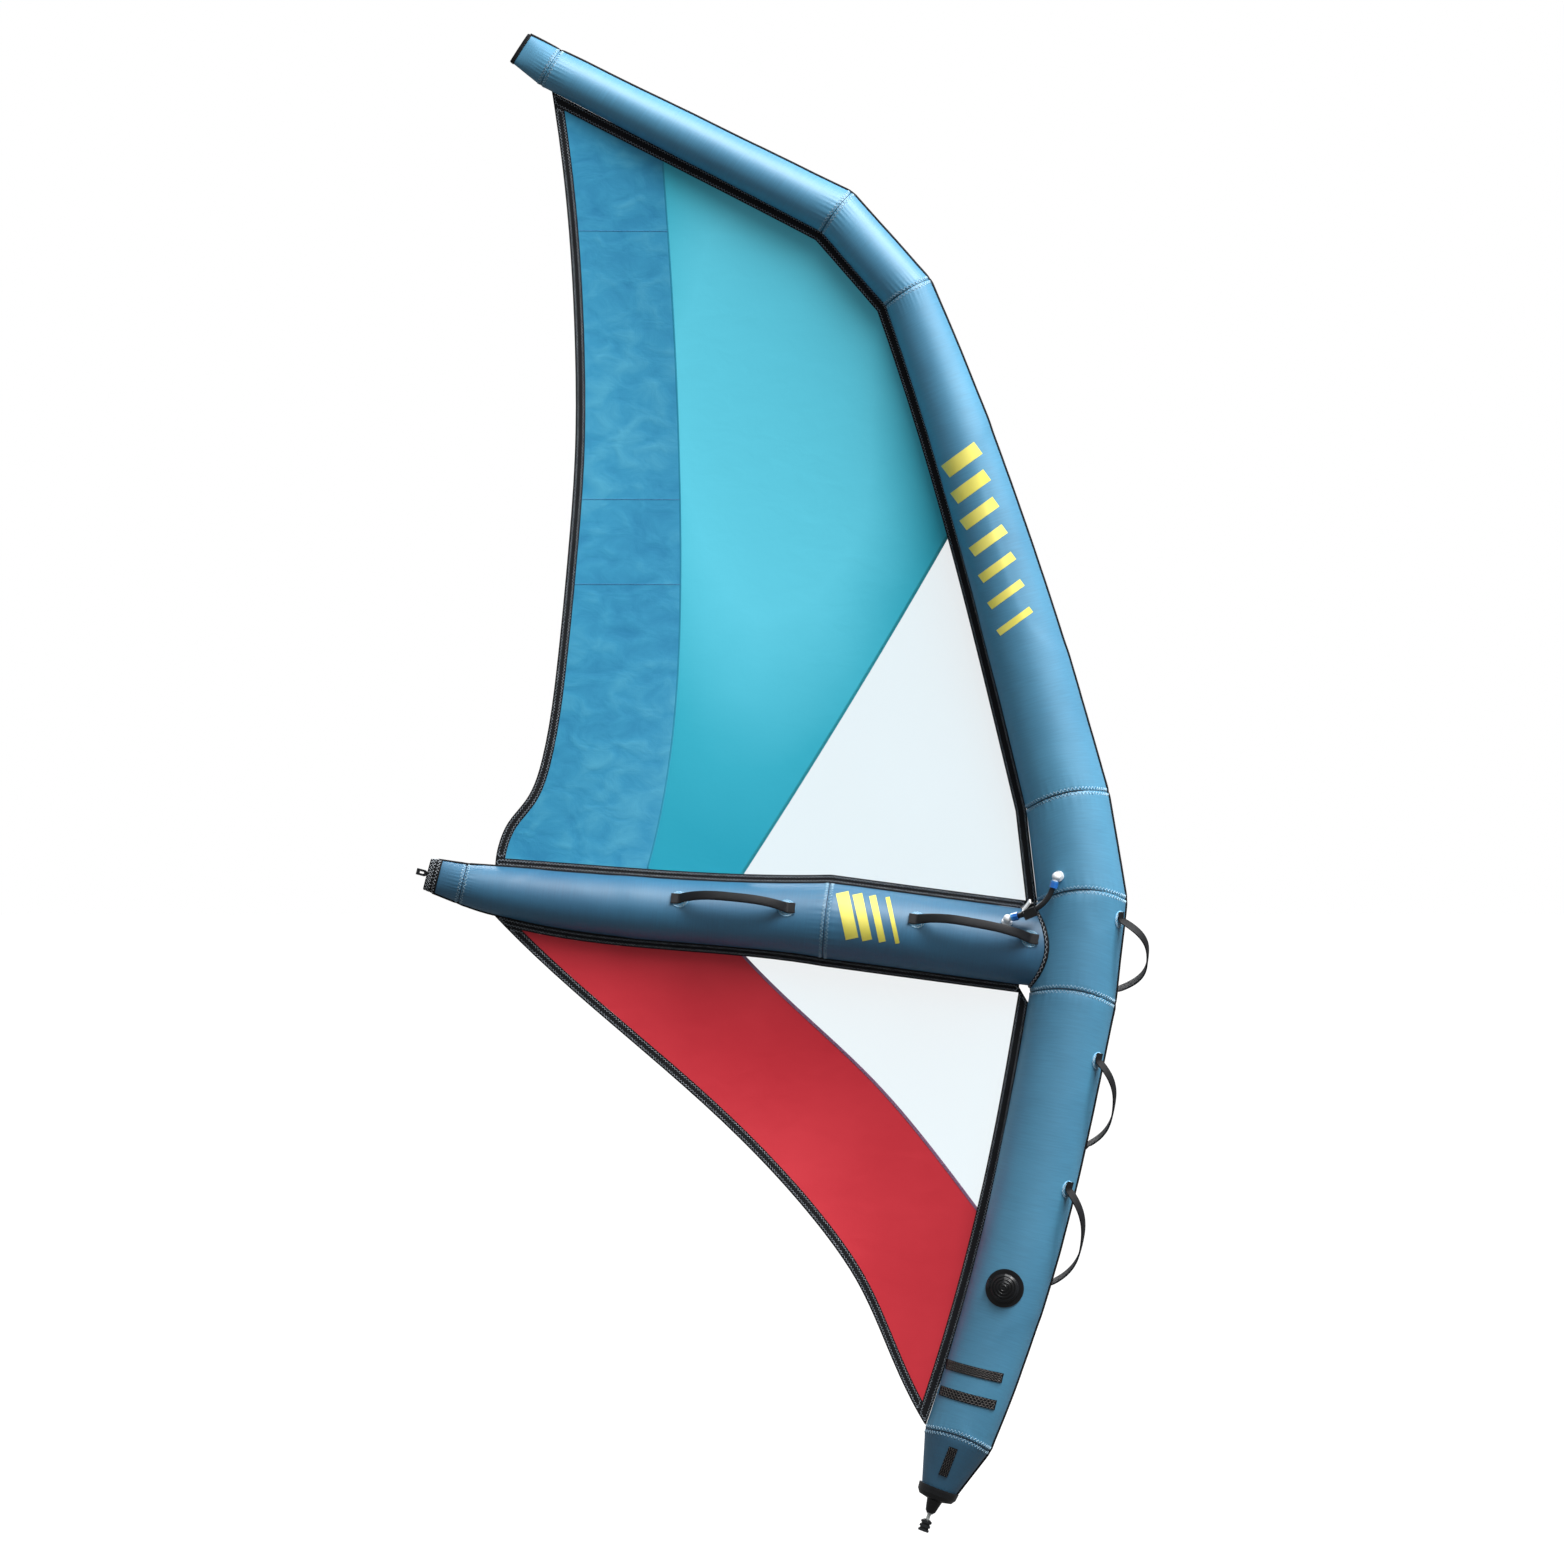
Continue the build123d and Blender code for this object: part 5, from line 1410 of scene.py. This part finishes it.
VALVE_CENTRE = (0.199, 0.0, 0.569)
PRESS_WAY = (0.11555, 0.992547, -0.03872)
RIDGE_REACHES = (0.0065, 0.0135, 0.0205, 0.0275)
RIDGE_RADIUS = 0.0022
RIDGE_AROUND = 72
CAP_CLEAR = 0.2             # from the valve's centre, well outside its cap


def moulded(name, base, worn, rough, grain, edge_tone, gloss=0.4):
    """Moulded plastic or rubber: a fine grain, drifting tone, and paler wear on raised edges."""
    material, shader, add = new_material(name)
    place = object_place(add)
    drift = clouds(add, place, 34.0, 4.0)
    tone = ramp(add, drift, (0.36, base), (0.68, worn))
    edges = add("ShaderNodeNewGeometry")["Pointiness"]
    rubbed = ramp(add, edges, (0.50, (0, 0, 0)), (0.60, (255, 255, 255)))
    colour = blend_colours(add, maths(add, "MULTIPLY", rubbed, 0.35), tone, linear(*edge_tone))
    shade(shader, Base_Color=colour,
          Normal=bumped(add, clouds(add, place, 900.0), grain, 0.0003),
          Roughness=maths(add, "ADD", maths(add, "MULTIPLY", drift, 0.16), rough - 0.08),
          Specular_IOR_Level=gloss)
    return material


valve_gloss = moulded("valve_gloss_black", (6, 7, 9), (13, 15, 18), 0.30, 0.10, (38, 42, 48))
valve_matt = moulded("valve_matt_black", (8, 9, 11), (16, 18, 21), 0.48, 0.25, (36, 38, 44), 0.3)
skirt_film = moulded("skirt_urethane", (8, 10, 12), (18, 20, 24), 0.38, 0.20, (34, 37, 42), 0.3)
plunger_white = moulded(
    "plunger_nylon", (186, 188, 184), (206, 208, 204), 0.40, 0.12, (228, 228, 224)
)
for node, material in (
    ("valve_cap", valve_gloss), ("valve_body", valve_matt), ("valve_flange", skirt_film),
    ("valve_plunger", plunger_white),
):
    nodes[node].data.materials[0] = material

# Grip ridges stand in rings round the cap's dome
cap_tree = surface_tree([nodes["valve_cap"].data])[0]
press = Vector(PRESS_WAY)
across = press.cross(Vector((0, 0, 1))).normalized()
upright = across.cross(press)
for index, reach in enumerate(RIDGE_REACHES):
    ridge_line = []
    for cos, sin in circle(RIDGE_AROUND):
        start = Vector(VALVE_CENTRE) + (across * cos + upright * sin) * reach
        ridge_line.append(cap_tree.ray_cast(start - press * CAP_CLEAR, press)[:2])
    ridge = round_strand(
        f"cap_ridge_{index}", ridge_line, RIDGE_RADIUS, closed=True, body="valve_cap"
    )
    dress(ridge, valve_gloss)


def brushed_metal(name, base, dull, rough):
    """Drawn metal: fine scratches along it, and a dull film in patches."""
    material, shader, add = new_material(name)
    place = object_place(add)
    tone = ramp(add, clouds(add, place, 60.0, 3.0), (0.4, base), (0.7, dull))
    drawn = add("ShaderNodeMapping", place, Scale=(60, 60, 1400))["Vector"]
    lines = clouds(add, drawn, 1.0)
    shade(shader, Base_Color=tone, Normal=bumped(add, lines, 0.1, 0.0002), Metallic=1.0,
          Roughness=maths(add, "ADD", maths(add, "MULTIPLY", lines, 0.2), rough))
    return material


spring = new_object("valve_spring_wire", nodes["valve_spring"].data.copy())
spring.data.materials.clear()
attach(spring, "sail")
spring_steel = brushed_metal("spring_steel_wire", (168, 170, 174), (140, 142, 146), 0.22)
dress(spring, spring_steel, "valve_spring")
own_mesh(spring)


# ---- Hose between the air chambers ---------------------------------------------------------------
# A short rubber hose joins the two tubes, so that one pump fills both. It is pushed on white
# elbows, locked by blue collars that turn, and shut by a lever clamp.

HOSE_ROUTE = (
    (0.30604, -0.10399, 1.52176), (0.3000, -0.1034, 1.5000), (0.2845, -0.1025, 1.4743),
    (0.2612, -0.0995, 1.4554), (0.2340, -0.0933, 1.4440), (0.20586, -0.08216, 1.43669),
)
HOSE_DIAMETER = 0.013

hose_line = bpy.data.curves.new("air_hose_line", "CURVE")
hose_line.dimensions = "3D"
hose_line.bevel_depth = HOSE_DIAMETER / 2
hose_line.bevel_resolution = 6
hose_line.resolution_u = 24
run = hose_line.splines.new("NURBS")
run.points.add(len(HOSE_ROUTE) - 1)
for point, place in zip(run.points, HOSE_ROUTE):
    point.co = (*place, 1)
run.order_u = 3
run.use_endpoint_u = True
hose = new_object("air_hose_rubber", hose_line)
hose_rubber = moulded("hose_rubber", (9, 10, 12), (20, 22, 25), 0.46, 0.3, (40, 42, 48))
hose_line.materials.append(hose_rubber)
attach(hose, "sail")
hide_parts("air_hose")


def collar_blue(name, low, high):
    """Clear blue nylon that darkens along the collar, from its light end to its dark one."""
    material, shader, add = new_material(name)
    place = object_place(add)
    way = Vector(high) - Vector(low)
    way /= way.length_squared
    away = add("ShaderNodeVectorMath", place, low, operation="SUBTRACT")[0]
    share = add("ShaderNodeVectorMath", away, way, operation="DOT_PRODUCT")["Value"]
    shade(shader, Base_Color=ramp(add, share, (0.25, (104, 184, 238)), (0.75, (30, 104, 190))),
          Normal=bumped(add, clouds(add, place, 700.0), 0.12, 0.0002),
          Roughness=0.28, Coat_Weight=0.3)
    return material


fitting_nylon = moulded(
    "fitting_nylon", (222, 228, 234), (236, 240, 243), 0.32, 0.10, (246, 248, 250)
)
mast_blue = collar_blue("mast_collar_blue", (0.308, -0.1042, 1.530), (0.3045, -0.1038, 1.513))
boom_blue = collar_blue("boom_collar_blue", (0.200, -0.0799, 1.4352), (0.216, -0.0862, 1.4392))
clamp_black = moulded("clamp_acetal", (16, 17, 19), (27, 28, 31), 0.42, 0.2, (60, 62, 66))
lever_white = moulded(
    "lever_nylon", (224, 226, 226), (240, 241, 240), 0.34, 0.12, (250, 250, 250)
)
pin_steel = brushed_metal("pin_stainless", (186, 188, 190), (150, 152, 156), 0.20)
for node, material in (
    ("mast_hose_fitting", fitting_nylon), ("boom_hose_fitting", fitting_nylon),
    ("mast_hose_collar", mast_blue), ("boom_hose_collar", boom_blue),
    ("hose_clamp_body", clamp_black), ("hose_clamp_lever", lever_white),
    ("hose_clamp_pin", pin_steel),
):
    nodes[node].data.materials[0] = material


# ---- Foot fitting --------------------------------------------------------------------------------
# A moulded black cup holds the end of the mast, and turns on a steel pin. A urethane tendon bends
# between the pin and a ribbed rubber plug, which screws to the board by its brass insert.

FOOT_WAY = Vector((0.350207, 0.0, 0.936672))
TENDON_LOW, TENDON_HIGH = 0.0290, 0.0434
TENDON_WAIST, TENDON_END = 0.0042, 0.0052
TENDON_ROWS = 24
TENDON_AROUND = 32

cup_nylon = moulded("cup_nylon", (8, 9, 11), (19, 21, 24), 0.36, 0.3, (50, 53, 58))
plug_rubber = moulded("plug_rubber", (9, 10, 12), (24, 26, 29), 0.5, 0.4, (50, 54, 60))
insert_brass = brushed_metal("insert_brass", (196, 160, 92), (160, 126, 70), 0.24)
for node, material in (
    ("foot_cup", cup_nylon), ("base_plug", plug_rubber), ("foot_pin", pin_steel),
    ("base_insert", insert_brass),
):
    nodes[node].data.materials[0] = material

tendon_rows = []
for step in range(TENDON_ROWS + 1):
    share = step / TENDON_ROWS
    radius = TENDON_WAIST + (TENDON_END - TENDON_WAIST) * (2 * share - 1) ** 2
    centre = FOOT_WAY * (TENDON_LOW + (TENDON_HIGH - TENDON_LOW) * share)
    tendon_rows.append(ring_points(centre, FOOT_WAY, radius, radius, 0.0, TENDON_AROUND))
tendon = ring_piece("tendon_rod", tendon_rows, True, True, None)
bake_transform(tendon)
tendon_clear = moulded(
    "tendon_clear", (196, 204, 202), (214, 220, 216), 0.25, 0.06, (228, 232, 230)
)
dress(tendon, tendon_clear, "foot_tendon")


# ---- Floor, lamps and camera ---------------------------------------------------------------------
# The rig is held up before a white studio wall, over a pale floor, and the camera looks straight
# at it through a long lens.

FLOOR_DROP = 0.30           # the rig is held this far above the floor
FLOOR_REACH = 134.0         # its far edge is hidden behind the boom
LIGHT_BELOW = 0.0           # levels of the light all round: from below, level and from above
LIGHT_LEVEL = 0.42
LIGHT_ABOVE = 0.60
LIGHT_STEPS = (-0.35, 0.15, 1.0)            # heights on the backdrop where each is reached
GLOSS_SHARE = 0.06          # how much of the pale floor a glossy surface mirrors


def studio_white(name):
    """A pale surface that the camera sees as white where no shadow falls, with a painted shade that
    dims it a little towards the rig.
    """
    material, shader, add = new_material(name)
    shade(shader, Base_Color=(0.06, 0.06, 0.06, 1), Roughness=0.9)
    # Painted shade: the floor's glow is up to 6% dimmer near the rig, so that the rig's shadow
    # still shows there
    painted_shade_spread = add("ShaderNodeMapping", object_place(add), Scale=(0.14, 0.14, 0.14))["Vector"]
    near = add("ShaderNodeTexGradient", painted_shade_spread, gradient_type="SPHERICAL")["Fac"]
    painted_shade_near_rig = maths(add, "SUBTRACT", 1.0, maths(add, "MULTIPLY", near, 0.06))
    path = add("ShaderNodeLightPath")
    seen = maths(add, "MAXIMUM", path["Is Camera Ray"], path["Is Transmission Ray"])
    mirrored = maths(add, "MULTIPLY", path["Is Glossy Ray"], GLOSS_SHARE)
    painted_glow = maths(add, "MULTIPLY", maths(add, "MAXIMUM", seen, mirrored), painted_shade_near_rig)
    light = add("ShaderNodeEmission", Strength=painted_glow)[0]
    both = add("ShaderNodeAddShader", shader.outputs[0], light)[0]
    fill(material.node_tree.nodes["Material Output"].inputs["Surface"], both)
    return material


floor_mesh = bpy.data.meshes.new("floor")
floor_mesh.from_pydata(
    [(x * FLOOR_REACH, y * FLOOR_REACH, cad_box[0][2] - FLOOR_DROP)
     for x, y in ((-1, -1), (1, -1), (1, 1), (-1, 1))],
    [], [(0, 1, 2, 3)],
)
floor = new_object("floor", floor_mesh)
floor_mesh.materials.append(studio_white("floor_white"))

world = bpy.data.worlds.new("studio")
bpy.context.scene.world = world
world.use_nodes = True
sky = node_adder(world.node_tree)

# Soft light comes mostly from overhead, and the camera sees plain white behind the rig
height = sky("ShaderNodeSeparateXYZ", sky("ShaderNodeTexCoord")["Generated"])["Z"]
low, high = LIGHT_STEPS[:2], LIGHT_STEPS[1:]
low_light = sky("ShaderNodeMapRange", height, *low, LIGHT_BELOW, LIGHT_LEVEL)["Result"]
high_light = sky("ShaderNodeMapRange", height, *high, 0.0, LIGHT_ABOVE - LIGHT_LEVEL)["Result"]
rays = sky("ShaderNodeLightPath")
seen = maths(sky, "MAXIMUM", rays["Is Camera Ray"], rays["Is Transmission Ray"])
soft = maths(sky, "ADD", low_light, high_light)
hidden = maths(sky, "MULTIPLY", soft, maths(sky, "SUBTRACT", 1.0, seen))
level = maths(sky, "ADD", hidden, seen)
shade(world.node_tree.nodes["Background"], Color=(1, 1, 1, 1), Strength=level)


def lamp(name, place, target, size, power):
    """A soft square lamp aimed at a point."""
    light = bpy.data.lights.new(name, "AREA")
    light.size = size
    light.energy = power
    holder = new_object(name, light)
    holder.location = place
    holder.rotation_euler = (Vector(target) - Vector(place)).to_track_quat("-Z", "Y").to_euler()


RIG_MIDDLE = (-0.2, 0, 1.8)
lamp("key_lamp", (5.8, -8.5, 15.2), RIG_MIDDLE, 8.0, 3750)
lamp("edge_lamp", (10.4, -1.2, 15.0), RIG_MIDDLE, 4.0, 2600)
lamp("back_lamp", (-4.0, 9.5, 10.0), RIG_MIDDLE, 6.0, 1300)

VIEW_CENTRE = (-0.3299, 1.7527)
VIEW_WIDTH = 3.6598
VIEW_DISTANCE = 24.0
SENSOR_WIDTH = 36.0
lens = bpy.data.cameras.new("camera")
lens.sensor_width = SENSOR_WIDTH
lens.lens = SENSOR_WIDTH * VIEW_DISTANCE / VIEW_WIDTH
lens.clip_end = 200.0
camera = new_object("camera", lens)
camera.location = (VIEW_CENTRE[0], -VIEW_DISTANCE, VIEW_CENTRE[1])
camera.rotation_euler = (math.pi / 2, 0, 0)
bpy.context.scene.camera = camera
bpy.context.scene.view_settings.view_transform = "Standard"
